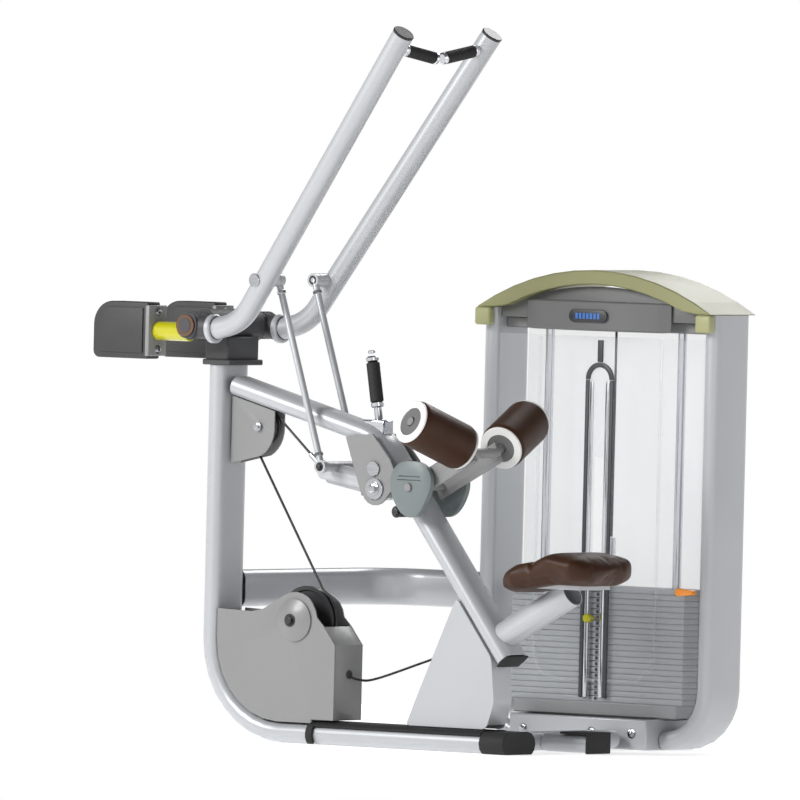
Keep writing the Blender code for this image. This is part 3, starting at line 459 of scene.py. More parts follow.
def eased(node, finish, edge, body="frame", angle=38):
    """A CAD node's own shape, merged, with its sharp edges eased by a fine bevel."""
    bm = bmesh.new()
    bm.from_mesh(frame["nodes"][node].data)
    bmesh.ops.remove_doubles(bm, verts=bm.verts, dist=1e-5)
    bmesh.ops.dissolve_limit(bm, angle_limit=math.radians(0.6), verts=bm.verts, edges=bm.edges)
    obj = piece(node + "_skin", bm, finish, body, (node,), angle)
    bevel = obj.modifiers.new("eased_edges", "BEVEL")
    bevel.width = edge
    bevel.segments = 2
    bevel.limit_method = "ANGLE"
    bevel.angle_limit = math.radians(angle)
    return obj


# ---- settings
class PulldownLook(bpy.types.PropertyGroup):
    paint: StringProperty(name="Frame paint", description="sRGB hex of the frame's silver paint",
                          default="#b4b6b9")
    vinyl: StringProperty(name="Vinyl", description="sRGB hex of the pads' vinyl", default="#3c1d02")
    pad_swell: FloatProperty(name="Pad swell", description="Furthest that a pad's skin may swell",
                             default=0.010, min=0.0, max=0.03, unit="LENGTH")
    edge: FloatProperty(name="Edge ease", description="Radius on the edges of plates and castings",
                        default=0.0012, min=0.0, max=0.005, unit="LENGTH")


def settings():
    return bpy.context.scene.pulldown_look


# ---- frame
class FrameTubes(bpy.types.Operator):
    """Column, beam, crossbar and base tubes, with their plates and castings"""

    bl_idname = "pulldown.frame_tubes"
    bl_label = "Frame tubes"

    def execute(self, context):
        edge = settings().edge
        for node in ("column_and_base_tube", "crossbar_tube", "sloped_beam", "rear_cross_tube", "rear_foot",
                     "seat_post", "tower_base"):
            eased(node, "frame_paint", edge * 0.5)
        eased("seat_support", "frame_paint", edge)
        for node in ("upper_pulley_housing", "lower_pulley_housing", "left_gusset", "right_gusset"):
            eased(node, "bracket_steel", edge * 0.7)
        eased("pivot_head", "casting_grey", edge)
        self.fasteners()
        self.end_caps()
        return {"FINISHED"}

    def pair(self, name, spot, half_wide, shape, finish):
        """One fitting on each side of the frame, facing outwards."""
        for hand, side in SIDE.items():
            face = Vector((spot[0], side * half_wide, spot[1]))
            piece(f"{hand}_{name}", shape(face, ACROSS * side), finish)

    def fasteners(self):
        plate = span("left_gusset")[0].y
        self.pair("rocker_bearing", (ROCKER.x, ROCKER.z), GAP - plate,
                  lambda face, out: together(disc(face, out, 0.030, 0.006),
                                             bolt(face + out * 0.0062, out, 0.013)), "bolt_zinc")
        self.pair("gusset_boss", (ROCKER.x - 0.005, ROCKER.z + 0.055), GAP - plate,
                  lambda face, out: disc(face, out, 0.021, 0.006), "bolt_zinc")
        high = span("upper_pulley_housing")[1]
        self.pair("upper_axle_bolt", (UPPER_PULLEY.x, UPPER_PULLEY.z), high.y + GAP,
                  lambda face, out: bolt(face, out, 0.009), "bolt_zinc")
        face = Vector((LOWER_PULLEY.x, -0.0628, LOWER_PULLEY.z))
        cone = [(0, 0.006), (0, 0.057), (0.002, 0.0585), (0.0045, 0.0585), (0.020, 0.028), (0.0205, 0.006)]
        piece("lower_cone_washer", turned(cone, face, -ACROSS, 64), "bracket_steel")
        piece("lower_axle_bolt", bolt(face - ACROSS * 0.0208, -ACROSS, 0.012), "pulley_nylon")
        self.housing_end()
        low, high = span("stop_bumper")
        self.pair("stop_bolt", ((low.x + high.x) / 2, (low.z + high.z) / 2), high.y + GAP,
                  lambda face, out: bolt(face, out, 0.011), "pulley_nylon")

    def housing_end(self):
        """Plate that closes the lower housing's end, and the bush where the cable leaves it."""
        outline = [(-0.055, 0.068), (-0.055, 0.275), (-0.095, 0.325), (-0.0985, 0.322), (-0.0595, 0.2735),
                   (-0.0595, 0.068)]
        piece("lower_housing_end", slab(outline, -0.0575, 0.0575, 1, 0.0008, 2), "bracket_steel")
        bush = ring((-0.0547, 0.003, 0.194), (1, 0, 0), 0.012, 0.0045, 0.004)
        piece("cable_bush", bush, "pulley_nylon")

    def end_caps(self):
        """Rubber cap on the sloped beam's lower end, and the boot on the rear foot."""
        down = Vector((0.618, 0, -0.786))
        beam_end = Vector((0.5120, 0, 0.258))
        cap = slab([(-0.048, -0.024), (0.048, -0.024), (0.048, 0.024), (-0.048, 0.024)], GAP, 0.008, 2, 0.004)
        turn = Matrix(((0, -down.z, down.x), (1, 0, 0), (0, down.x, down.z))).to_4x4()
        bmesh.ops.transform(cap, matrix=Matrix.Translation(beam_end + down * GAP) @ turn, verts=cap.verts)
        piece("beam_end_cap", cap, "black_rubber")
        low, high = span("rear_foot")
        top = high.z + 0.007
        cap = box((high.x - 0.090, low.y - 0.002, high.z + GAP), (high.x + 0.004, high.y + 0.002, top), 0.003)
        end = box((high.x + GAP, low.y - 0.002, low.z - 0.002), (high.x + 0.010, high.y + 0.002, top), 0.003)
        piece("rear_foot_boot", together(cap, end), "black_rubber")


class BaseTread(bpy.types.Operator):
    """Rubber tread along the top of the base tube, and the boot on its end"""

    bl_idname = "pulldown.base_tread"
    bl_label = "Base tread"

    def execute(self, context):
        low, high = span("base_tread")
        tube_low, tube_high = span("column_and_base_tube")
        half_flat, centre_z = tube_high.y - BASE_TUBE_R, tube_low.z + BASE_TUBE_R
        strip = slab(self.saddle(half_flat, centre_z, 42), low.x, high.x, 0, 0.0015, 2)
        cuff = slab(self.saddle(half_flat, centre_z, -48), low.x - 0.012, low.x + 0.010, 0, 0.0015, 2)
        piece("base_tread_rubber", together(strip, cuff), "black_rubber", "frame", ("base_tread",))
        eased("base_boot", "black_rubber", 0.004)
        return {"FINISHED"}

    def saddle(self, half_flat, centre_z, last):
        """Section of a strip that hugs the tube's top and its round sides down to an angle."""
        inner, outer = BASE_TUBE_R + GAP, BASE_TUBE_R + 0.009
        right = arc((half_flat, centre_z), outer, last, 90, 12)
        left = arc((-half_flat, centre_z), outer, 90, 180 - last, 12)
        back_left = arc((-half_flat, centre_z), inner, 180 - last, 90, 12)
        back_right = arc((half_flat, centre_z), inner, 90, last, 12)
        return right + left + back_left + back_right


# ---- moving arms
class Arms(bpy.types.Operator):
    """Press-down arms with their hubs, collars, handles and end caps"""

    bl_idname = "pulldown.arms"
    bl_label = "Arms"

    def execute(self, context):
        for hand, side in SIDE.items():
            self.one_arm(hand, side)
        return {"FINISHED"}

    def one_arm(self, hand, side):
        body = hand + "_arm"
        out = ACROSS * side
        self.tube(hand, side, body)
        eased(hand + "_hub", "casting_grey", settings().edge * 2, body)
        pivot = ARM_PIVOT[hand]
        low, high = span(hand + "_hub")
        face = Vector((pivot.x, (high.y if side > 0 else low.y) + side * GAP, pivot.z))
        piece(hand + "_hub_end_ring", ring(face, out, 0.030, 0.0125, 0.006), "end_brown", body)
        start = Vector((pivot.x + 0.060, pivot.y, pivot.z - 0.008))
        collar = ring(start, Vector((0.994, 0, 0.05)), 0.040, 0.0305, 0.018, 0.003)
        piece(hand + "_clamp_collar", collar, "frame_paint", body)
        ribs = [ring((pivot.x, pivot.y + (i - 1.5) * 0.017, pivot.z), ACROSS, 0.0385, 0.0357, 0.006)
                for i in range(4)]
        piece(hand + "_hub_ribs", together(*ribs), "casting_grey", body)
        self.top_end(hand, side, body)

    def point(self, side, place):
        """A point of the centre line. The arm leans outwards evenly with height."""
        x, z = place
        return Vector((x, side * (0.148 + 0.049 * (z - 1.134) / 0.825), z))

    def handle_line(self, side):
        """The tube's top, its direction up there, and the handle's direction inwards."""
        top = self.point(side, ARM_TOP)
        inward = Vector((0, -side * math.cos(HANDLE_TILT), -math.sin(HANDLE_TILT)))
        return top, (top - self.point(side, ARM_KNEE)).normalized(), inward

    def tube(self, hand, side, body):
        """Bent round tube, with its handle stub and the short boss for the push rod."""
        corners = [self.point(side, place) for place in (ARM_FOOT, ARM_KNEE, ARM_TOP)]
        top, up, inward = self.handle_line(side)
        stub = disc(top - up * HANDLE_BELOW_TOP, inward, 0.0115, 0.034, 0.001, 24)
        boss = self.point(side, ARM_BOSS)
        reach = abs(boss.y - LINK_TOP[hand].y) - 0.0094
        boss = disc(boss, -ACROSS * side, 0.0185, reach, 0.002, 32)
        shape = together(bent_tube(corners, 0.140, 0.030, 48), stub, boss)
        piece(hand + "_arm_tube_skin", shape, "frame_paint", body, (hand + "_arm_tube",))

    def top_end(self, hand, side, body):
        top, up, inward = self.handle_line(side)
        piece(hand + "_arm_cap", disc(top + up * GAP, up, 0.0305, 0.007, 0.003), "pulley_nylon", body)
        root = top - up * HANDLE_BELOW_TOP
        self.grip(hand, body, root + inward * 0.034, inward, 0.150)
        stub = disc(root + inward * 0.026, inward, 0.014, 0.012, 0.002, 24)
        piece(hand + "_handle_root", stub, "chrome_steel", body)
        face = self.point(side, ARM_BOSS) + ACROSS * side * 0.0302
        piece(hand + "_link_bolt", disc(face, ACROSS * side, 0.018, 0.004), "bolt_zinc", body)

    def grip(self, hand, body, start, along, length):
        """Ribbed rubber sleeve between two chrome caps."""
        radius, cap_long, count = 0.0170, 0.014, 22
        profile = [(cap_long, 0), (cap_long, radius - 0.001)]
        step = (length - 2 * cap_long) / count
        for i in range(count):
            at = cap_long + i * step
            profile += [(at + step * 0.15, radius), (at + step * 0.65, radius),
                        (at + step * 0.82, radius - 0.0010)]
        profile += [(length - cap_long, radius - 0.001), (length - cap_long, 0)]
        sleeve = turned(profile, start, along, 32)
        piece(hand + "_grip_sleeve", sleeve, "black_rubber", body, (hand + "_handle_grip",))
        caps = [disc(start, along, radius, cap_long - GAP, 0.002),
                disc(start + along * (length - cap_long + GAP), along, radius, cap_long - GAP, 0.005)]
        piece(hand + "_grip_caps", together(*caps), "chrome_steel", body)


class Counterweights(bpy.types.Operator):
    """Counterweights with a raised contour, their flanges and yellow tubes"""

    bl_idname = "pulldown.counterweights"
    bl_label = "Counterweights"

    def execute(self, context):
        for hand in SIDE:
            body = hand + "_arm"
            low, high = span(hand + "_counterweight")
            outline = self.outline(low, high, 0)
            piece(hand + "_weight_block", slab(outline, low.y, high.y, 1, 0.005, 4), "weight_iron", body,
                  (hand + "_counterweight",))
            for name, y, way in (("outer", low.y, -1), ("inner", high.y, 1)):
                inset = self.outline(low, high, 0.016)
                first, last = sorted((y + way * GAP, y + way * 0.004))
                piece(f"{hand}_weight_{name}_panel", slab(inset, first, last, 1, 0.0015), "weight_iron", body)
            self.flange(hand, body)
        return {"FINISHED"}

    def outline(self, low, high, inset):
        radius, foot = 0.065 - inset, 0.020
        left, bottom, top, right = low.x + inset, low.z + inset, high.z - inset, high.x - inset
        points = [(right, bottom), (right, top)]
        points += arc((left + radius, top - radius), radius, 90, 180, 14)
        points += arc((left + foot, bottom + foot), foot, 180, 270, 6)
        return points

    def flange(self, hand, body):
        node = hand + "_balance_tube"
        low, high = span(node)
        mid = (low + high) / 2
        plate = box((low.x, low.y, low.z), (low.x + 0.0137, high.y, high.z), 0.003)
        piece(hand + "_weight_flange", plate, "bracket_steel", body)
        start = Vector((low.x + 0.014, mid.y, 1.122))
        tube = disc(start, (1, 0, 0), 0.026, high.x - start.x)
        piece(hand + "_yellow_tube", tube, "yellow_paint", body, (node,))
        bolts = [bolt((low.x + 0.0138, mid.y + dy, 1.122 + dz), (1, 0, 0), 0.008)
                 for dy, dz in ((0, 0.052), (0, -0.052))]
        piece(hand + "_flange_bolts", together(*bolts), "bolt_zinc", body)


# ---- linkage
class Linkage(bpy.types.Operator):
    """Push rods, rocker, pulleys and cables"""

    bl_idname = "pulldown.linkage"
    bl_label = "Linkage"

    def execute(self, context):
        edge = settings().edge
        for hand, side in SIDE.items():
            eased(hand + "_push_rod", "frame_paint", edge, hand + "_rod")
            self.rod_ends(hand, side)
        eased("rocker_body", "frame_paint", edge, "rocker")
        eased("rocker_axle", "chrome_steel", edge * 0.5)
        eased("stop_bumper", "black_rubber", edge)
        self.pulley("upper_pulley", "upper_wheel", UPPER_PULLEY)
        self.pulley("lower_pulley", "lower_wheel", LOWER_PULLEY)
        self.cables()
        return {"FINISHED"}

    def rod_ends(self, hand, side):
        body = hand + "_rod"
        top = LINK_TOP[hand]
        foot = Vector((ROD_FOOT[0], top.y, ROD_FOOT[1]))
        for name, spot in (("top", top), ("foot", foot)):
            start = spot - ACROSS * 0.0092
            shape = ring(start, ACROSS, 0.0135, 0.0065, 0.0184, 0.001, 28)
            face = spot + ACROSS * side * 0.0094
            shape = together(shape, bolt(face, ACROSS * side, 0.0075))
            piece(f"{hand}_rod_{name}_bearing", shape, "pulley_nylon", body)
        down = (foot - top).normalized()
        nuts = [disc(spot, down, 0.0125, 0.010, 0.001, 6)
                for spot in (top + down * 0.030, foot - down * 0.040)]
        piece(hand + "_rod_lock_nuts", together(*nuts), "bolt_zinc", body)

    def pulley(self, node, body, centre):
        """Grooved wheel with lightening recess and a bearing in the middle."""
        low, high = span(node)
        radius, half = (high.x - low.x) / 2, (high.y - low.y) / 2
        groove = 0.0046
        near = [(half, 0.017), (half * 0.55, 0.019), (half * 0.55, radius - 0.014), (half, radius - 0.011),
                (half, radius - 0.001), (half - 0.001, radius), (groove, radius),
                (groove * 0.6, radius - 0.0055)]
        profile = [(-s, r) for s, r in near] + near[::-1]
        wheel = turned(profile, (centre.x, 0, centre.z), ACROSS, 64)
        piece(node + "_wheel", wheel, "pulley_nylon", body, (node,))
        race = ring((centre.x, -half, centre.z), ACROSS, 0.0168, 0.0086, 2 * half, 0.001, 32)
        piece(node + "_bearing", race, "bolt_zinc", body)

    def cable_route(self):
        """From the rocker's side of the upper pulley, round the lower one and into the tower."""
        upper, lower = 0.0541, 0.0981
        dx, dz = -0.150 - UPPER_PULLEY.x, 0.750 - UPPER_PULLEY.z
        start = math.degrees(math.atan2(dz, dx) + math.acos(upper / math.hypot(dx, dz)))
        over = arc((UPPER_PULLEY.x, UPPER_PULLEY.z), upper, start, 205, 24)
        wrap = arc((LOWER_PULLEY.x, LOWER_PULLEY.z), lower, 60, -25, 30)
        round_pulleys = [Vector((x, 0, z)) for x, z in over + wrap]
        leaving = [(-0.090, 0.0, 0.240), (-0.058, 0.002, 0.196), (-0.034, 0.022, 0.181),
                   (-0.016, 0.080, 0.184), (-0.030, 0.340, 0.232), (-0.043, 0.620, 0.284),
                   (-0.045, 0.801, 0.325), (-0.047, 0.982, 0.366)]
        return round_pulleys[:-1] + through(round_pulleys[-2:] + leaving)

    def cables(self):
        piece("frame_cable_run", cord(self.cable_route(), CABLE_R), "cable_steel", "frame", ("frame_cable",))
        low, high = span("stack_cable")
        mid = (low + high) / 2
        length = high.z - low.z
        bm = disc((mid.x, mid.y, low.z), UP, CABLE_R, length, 0.0, 12)
        run = piece("stack_cable_run", bm, "cable_steel", "frame", ("stack_cable",))
        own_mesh(run)
        low, high = span("rocker_cable")
        first = Vector((high.x - 0.0025, 0, low.z + 0.0025))
        last = Vector((low.x + 0.0025, 0, high.z - 0.0025))
        toward = (last - first).normalized()
        bm = disc(first, toward, CABLE_R, (last - first).length, 0.0, 12)
        strand = piece("rocker_cable_run", bm, "cable_steel", None, ("rocker_cable",))
        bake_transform(strand)
        sleeve = disc(first - toward * 0.004, toward, 0.008, 0.045, 0.002, 24)
        piece("cable_sleeve", sleeve, "bolt_zinc", "rocker")


# ---- pads
PAD_CLOTH = {"quality": 4, "use_pressure": True, "uniform_pressure_force": 4.0,
             "tension_stiffness": 20, "compression_stiffness": 20}
PAD_VOXEL, PAD_FRAMES = 0.005, 20


def swollen(name, bm, body, node, furthest):
    """A stuffed pad: its skin is remeshed, inflated as cloth and kept close to its pattern."""
    obj = piece(name, bm, "pad_vinyl", body, (node,), 60)
    remesh = obj.modifiers.new("skin", "REMESH")
    remesh.mode = "VOXEL"
    remesh.voxel_size = PAD_VOXEL
    apply_modifier(obj, remesh.name)
    obj.data.shade_smooth()
    start = [v.co.copy() for v in obj.data.vertices]
    cloth = obj.modifiers.new("swell", "CLOTH")
    cloth.settings.effector_weights.gravity = 0.0
    for key, value in PAD_CLOTH.items():
        setattr(cloth.settings, key, value)
    scene = bpy.context.scene
    for step in range(1, PAD_FRAMES + 1):
        scene.frame_set(step)
    bpy.context.view_layer.update()
    apply_modifier(obj, cloth.name)
    scene.frame_set(1)
    for vertex, home in zip(obj.data.vertices, start):
        move = vertex.co - home
        if move.length > furthest:
            vertex.co = home + move.normalized() * furthest
    smooth = bmesh.new()
    smooth.from_mesh(obj.data)
    for _ in range(3):
        bmesh.ops.smooth_vert(smooth, verts=smooth.verts, factor=0.4,
                              use_axis_x=True, use_axis_y=True, use_axis_z=True)
    smooth.to_mesh(obj.data)
    smooth.free()
    obj.data.shade_smooth()


def apply_modifier(obj, name):
    bpy.context.view_layer.objects.active = obj
    for other in bpy.context.selected_objects:
        other.select_set(False)
    obj.select_set(True)
    bpy.ops.object.modifier_apply(modifier=name)


class SeatPad(bpy.types.Operator):
    """Stuffed saddle seat with a lower nose and a crease across it"""

    bl_idname = "pulldown.seat_pad"
    bl_label = "Seat pad"

    def half_width(self, share, wide):
        nose = 0.085 + 0.060 * math.sqrt(max(0.0, min(1.0, share / 0.18)))
        swell = (wide - 0.145) * (0.5 - 0.5 * math.cos(math.pi * min(1.0, share / 0.62)))
        tail = 1.0 if share < 0.86 else math.sqrt(max(0.0, 1.0 - ((share - 0.86) / 0.145) ** 2))
        return (nose + swell) * (0.45 + 0.55 * tail)

    def cushion(self, low, high, steps=56, around=40):
        """Saddle: a lower nose, a crease across it and a crowned rear."""
        wide = (high.y - low.y) / 2
        length = high.x - low.x - 0.016
        bm = bmesh.new()
        rings = []
        for i in range(steps + 1):
            share = i / steps
            half = max(0.012, self.half_width(share, wide) - 0.008)
            rise = min(1.0, max(0.0, (share - 0.40) / 0.25))
            rise = rise * rise * (3 - 2 * rise)
            ends = min(1.0, share / 0.10, (1 - share) / 0.08)
            tall = (0.054 + 0.016 * rise) * (0.50 + 0.50 * math.sqrt(ends))
            tall -= 0.014 * math.exp(-((share - 0.42) / 0.020) ** 2)
            floor = low.z + 0.009 - 0.032 * max(0.0, 1 - share / 0.60) ** 1.2
            outline = []
            for turn in full_turn(around):
                c, n = math.cos(turn), math.sin(turn)
                y = half * math.copysign(abs(c) ** 0.42, c)
                z = floor + tall / 2 + tall / 2 * math.copysign(abs(n) ** 0.62, n)
                outline.append(bm.verts.new((low.x + 0.008 + length * share, y, z)))
            rings.append(outline)
        return skin(bm, rings)

    def execute(self, context):
        shape = self.cushion(*span("seat_pad"))
        swollen("seat_cushion", shape, "frame", "seat_pad", settings().pad_swell)
        return {"FINISHED"}


class ThighRollers(bpy.types.Operator):
    """Foam rollers with ring ends and hubs, on their forked frame, and the pivot covers"""

    bl_idname = "pulldown.thigh_rollers"
    bl_label = "Thigh rollers"

    def execute(self, context):
        eased("thigh_pad_frame", "bracket_steel", settings().edge, "thigh_pads")
        for hand, side in SIDE.items():
            joint = JOINTS[hand + "_roller_spin"]
            inner = Vector(joint["pos_m"])
            along = Vector(joint["axis"])
            self.roller(hand, inner + along * 0.034, along)
            self.cover(hand, side)
        return {"FINISHED"}

    def roller(self, hand, start, along):
        body = hand + "_roller"
        length, radius, ease, inset = 0.2015, 0.0650, 0.008, 0.006
        near = [(inset, 0.040), (inset, radius - ease), (inset + 0.002, radius - 0.003),
                (inset + ease, radius)]
        profile = near + [(length - s, r) for s, r in near[::-1]]
        foam = turned(profile, start, along, 48)
        swollen(hand + "_roller_foam", foam, body, hand + "_thigh_roller", 0.0022)
        for name, at, way in (("outer", length, 1), ("inner", 0.0, -1)):
            spot = start + along * (at - way * 0.007)
            face = along * way
            end = ring(spot, face, 0.0610, 0.0402, 0.007, 0.002, 56)
            piece(f"{hand}_roller_{name}_ring", end, "foam_end", body)
            hub = ring(spot - face * 0.004, face, 0.0400, 0.0140, 0.0095, 0.002, 48)
            piece(f"{hand}_roller_{name}_hub", hub, "header_plastic", body)

    def cover(self, hand, side):
        """Bowed grey-green shell, a rounded triangle pointing down, with two shallow ribs."""
        node = hand + "_pivot_cover"
        low, high = span(node)
        mid = THIGH_PIVOT
        wide, tall, thick = (high.x - low.x) / 2 / 0.946, mid.z - low.z, high.y - low.y
        outline = []
        for turn in full_turn(72):
            reach = 0.93 + 0.07 * math.cos(3 * (turn + math.pi / 2))
            outline.append((mid.x + wide * reach * math.cos(turn), mid.z + tall * reach * math.sin(turn)))
        shell = slab(outline, low.y, high.y, 1)
        outer = high.y if side > 0 else low.y
        crown = [f for f in shell.faces if abs(f.calc_center_median().y - outer) < 1e-5]
        for inset in (0.006, 0.010, 0.012):
            bmesh.ops.inset_region(shell, faces=crown, thickness=inset, use_even_offset=True)
        for vert in shell.verts:
            if abs(vert.co.y - outer) < 1e-5:
                x, z = (vert.co.x - mid.x) / wide, (vert.co.z - mid.z) / tall
                vert.co.y -= side * 0.45 * thick * min(1.0, x * x + z * z) ** 2
        piece(node + "_shell", shell, "cover_plastic", "thigh_pads", (node,), 40)
        cap = disc((mid.x, outer - side * 0.002, mid.z), ACROSS * side, 0.0120, 0.0035, 0.001, 32)
        piece(node + "_cap", cap, "header_plastic", "thigh_pads")
        first, last = sorted((outer - side * 0.004, outer - side * 0.0002))
        for i, shift in enumerate((0.020, 0.030)):
            half = (tall - 0.024) * 0.78 - shift * 0.3
            strip = box((mid.x - half, first, mid.z + shift - 0.0012),
                        (mid.x + half, last, mid.z + shift + 0.0012), 0.0004, 2)
            piece(f"{node}_rib_{i}", strip, "dark_channel", "thigh_pads")


class AdjustLever(bpy.types.Operator):
    """Thigh pad lever with its rubber grip, chrome collars and button"""

    bl_idname = "pulldown.adjust_lever"
    bl_label = "Adjustment lever"

    def execute(self, context):
        eased("adjust_lever", "chrome_steel", settings().edge)
        along = -Vector(JOINTS["release_button_press"]["axis"])
        low, high = span("lever_grip")
        foot = Vector((0.036, (low.y + high.y) / 2, 0.872)) + along * 0.0605
        length, radius = 0.1425, 0.0185
        profile = [(0.016, 0), (0.016, radius - 0.002), (0.018, radius), (length - 0.020, radius),
                   (length - 0.018, radius - 0.002), (length - 0.018, 0)]
        sleeve = turned(profile, foot, along, 40)
        piece("lever_grip_sleeve", sleeve, "black_rubber", "frame", ("lever_grip",))
        caps = [disc(foot, along, 0.0178, 0.0157, 0.003),
                disc(foot + along * (length - 0.0177), along, 0.0178, 0.0177, 0.005)]
        piece("lever_grip_caps", together(*caps), "chrome_steel")
        eased("release_button", "chrome_steel", 0.0015, "button")
        return {"FINISHED"}


# ---- weight tower
class Tower(bpy.types.Operator):
    """Side frames, arched cover, header, display and shields"""

    bl_idname = "pulldown.tower"
    bl_label = "Weight tower"

    def execute(self, context):
        edge = settings().edge
        for node in ("tower_left_frame", "tower_right_frame"):
            eased(node, "frame_paint", edge * 0.5)
        for node in ("tower_top_bar", "stack_base"):
            eased(node, "bracket_steel", edge)
        eased("rear_panel", "clear_shield", edge * 0.5)
        eased("tower_top_cover", "cover_top", 0.004, angle=30)
        eased("header_panel", "header_plastic", 0.005, angle=30)
        eased("front_shield", "clear_shield", edge * 0.5)
        self.cover_ends()
        self.fascia()
        self.display()
        self.channel()
        self.base_bolts()
        return {"FINISHED"}

    def cover_ends(self):
        low = span("tower_top_cover")[0]
        left, right = span("tower_left_frame")[0].x + 0.0255, span("tower_right_frame")[1].x - 0.0255
        for name, centre in (("left", left), ("right", right)):
            cap = box((centre - 0.027, low.y - 0.006, low.z - 0.050),
                      (centre + 0.027, low.y + 0.020, low.z - GAP), 0.008, 4)
            piece(f"tower_{name}_cap", cap, "khaki_plastic")

    def fascia(self):
        """Dark panel that closes most of the space under the arched cover."""
        low, high = span("tower_top_cover")
        header_low, header_high = span("header_panel")
        mid, half = (low.x + high.x) / 2, (high.x - low.x) / 2 - 0.060
        foot, rise = header_low.z + 0.030, high.z - 0.046
        outline = [(mid - half, foot), (mid + half, foot)]
        for i in range(25):
            share = 1 - i / 12
            outline.append((mid + half * share, rise - (rise - foot - 0.030) * share ** 2))
        y = header_high.y + 0.006
        piece("tower_fascia", slab(outline, y, y + 0.004, 1, 0.001, 2), "header_plastic")

    def display(self):
        """Small rounded window with a row of plain bars."""
        low, high = span("header_panel")
        mid = (low + high) / 2
        half, tall = 0.066, 0.018
        points = arc((half - tall, 0), tall, -90, 90, 10) + arc((tall - half, 0), tall, 90, 270, 10)
        face = low.y - GAP
        window = [(mid.x + x, mid.z + z) for x, z in points]
        piece("display_window", slab(window, face - 0.004, face, 1, 0.001), "display")
        bars = []
        for i in range(7):
            x = mid.x + (i - 3) * 0.0125
            bars.append(box((x - 0.0042, face - 0.0052, mid.z - 0.008),
                            (x + 0.0042, face - 0.0042, mid.z + 0.008), 0.0003, 1))
        piece("display_bars", together(*bars), "segment")

    def channel(self):
        """Raised centre panel on the shield and the dark channel round the pin slot."""
        low, high = span("front_shield")
        mid = (low + high) / 2
        face = low.y - GAP
        head = high.z - 0.120
        for name, side in (("left", -1), ("right", 1)):
            for part, near, far, deep, top, finish in (
                ("strip", 0.036, 0.048, 0.006, head, "dark_channel"),
                ("rail", 0.021, 0.033, 0.005, head - 0.006, "chrome_steel"),
            ):
                first, last = sorted((mid.x + side * near, mid.x + side * far))
                shape = box((first, face - deep, 0.135), (last, face, top), 0.002)
                piece(f"channel_{name}_{part}", shape, finish)
        outer = arc((mid.x, head + 0.001), 0.048, 0, 180, 24)
        inner = arc((mid.x, head + 0.001), 0.034, 180, 0, 24)
        piece("channel_head", slab(outer + inner, face - 0.006, face, 1, 0.001, 2), "dark_channel")
        neck = box((mid.x - 0.009, face - 0.006, head + 0.0495), (mid.x + 0.009, face, high.z - 0.010), 0.002)
        piece("channel_neck", neck, "dark_channel")
        wide, foot, radius = 0.215, 0.180, 0.090
        outer = self.u_shape(mid.x, wide, foot, radius, high.z - 0.004)
        inner = self.u_shape(mid.x, wide - 0.009, foot + 0.009, radius - 0.009, high.z - 0.004)
        contour = slab(outer + inner[::-1], face - 0.0035, face, 1, 0.001, 2)
        piece("shield_contour", contour, "clear_shield")

    def u_shape(self, centre, wide, foot, radius, top):
        left = arc((centre - wide + radius, foot + radius), radius, 180, 270, 10)
        right = arc((centre + wide - radius, foot + radius), radius, 270, 360, 10)
        return [(centre - wide, top)] + left + right + [(centre + wide, top)]

    def base_bolts(self):
        low, high = span("tower_base")
        bolts = [bolt((x, low.y - GAP, low.z + 0.045), -ACROSS, 0.009) for x in (low.x + 0.05, high.x - 0.05)]
        bolts += [bolt((high.x - 0.19, low.y - GAP, low.z + 0.045), -ACROSS, 0.009)]
        piece("base_front_bolts", together(*bolts), "bolt_zinc")


class Stack(bpy.types.Operator):
    """Weight plates, guide rods, selector rod, pin and increment lever"""

    bl_idname = "pulldown.stack"
    bl_label = "Weight stack"

    def execute(self, context):
        for prefix, body in (("resting", "frame"), ("lifted", "lifted_stack")):
            low, high = span(prefix + "_plates")
            feet = [low.z + i * PLATE_PITCH for i in range(round((high.z - low.z + 0.0015) / PLATE_PITCH))]
            plates = [box((low.x, low.y, z), (high.x, high.y, z + PLATE_PITCH - 0.0012), 0.0022, 2)
                      for z in feet]
            piece(prefix + "_iron_plates", together(*plates), "stack_iron", body, (prefix + "_plates",))
            mid = (low.x + high.x) / 2
            # Painted shade: a thin dark disc on each plate's face stands in for the shade inside its pin
            # hole, which is not cut.
            hole_shade = [disc((mid, low.y - 0.0004, z + PLATE_PITCH / 2), -ACROSS, 0.0052, 0.0006, 0.0, 16)
                     for z in feet]
            piece(prefix + "_pin_hole_shade", together(*hole_shade), "dark_channel", body)
        for node in ("left_guide_rod", "right_guide_rod"):
            eased(node, "chrome_steel", 0.0005)
        eased("selector_rod", "chrome_steel", 0.0005, "lifted_stack")
        self.pin()
        self.lever()
        return {"FINISHED"}

    def pin(self):
        low, high = span("selector_pin")
        mid = (low + high) / 2
        shaft = disc((mid.x, low.y + 0.034, mid.z), ACROSS, 0.0045, high.y - low.y - 0.034, 0.001, 20)
        piece("pin_shaft", shaft, "chrome_steel", "pin", ("selector_pin",))
        knob = [(0, 0), (0, 0.009), (0.004, 0.0125), (0.018, 0.0125), (0.024, 0.009), (0.0335, 0.0075),
                (0.0335, 0)]
        piece("pin_knob", turned(knob, (mid.x, low.y, mid.z), ACROSS, 36), "yellow_paint", "pin")

    def lever(self):
        low, high = span("increment_lever")
        mid_z = (low.z + high.z) / 2
        outline = arc((low.x + 0.011, mid_z), 0.011, 90, 270, 12)
        outline += arc((high.x - 0.007, mid_z), 0.007, -90, 90, 10)
        paddle = slab(outline, low.y, high.y, 1, 0.003)
        piece("increment_paddle", paddle, "orange_plastic", "increment", ("increment_lever",))


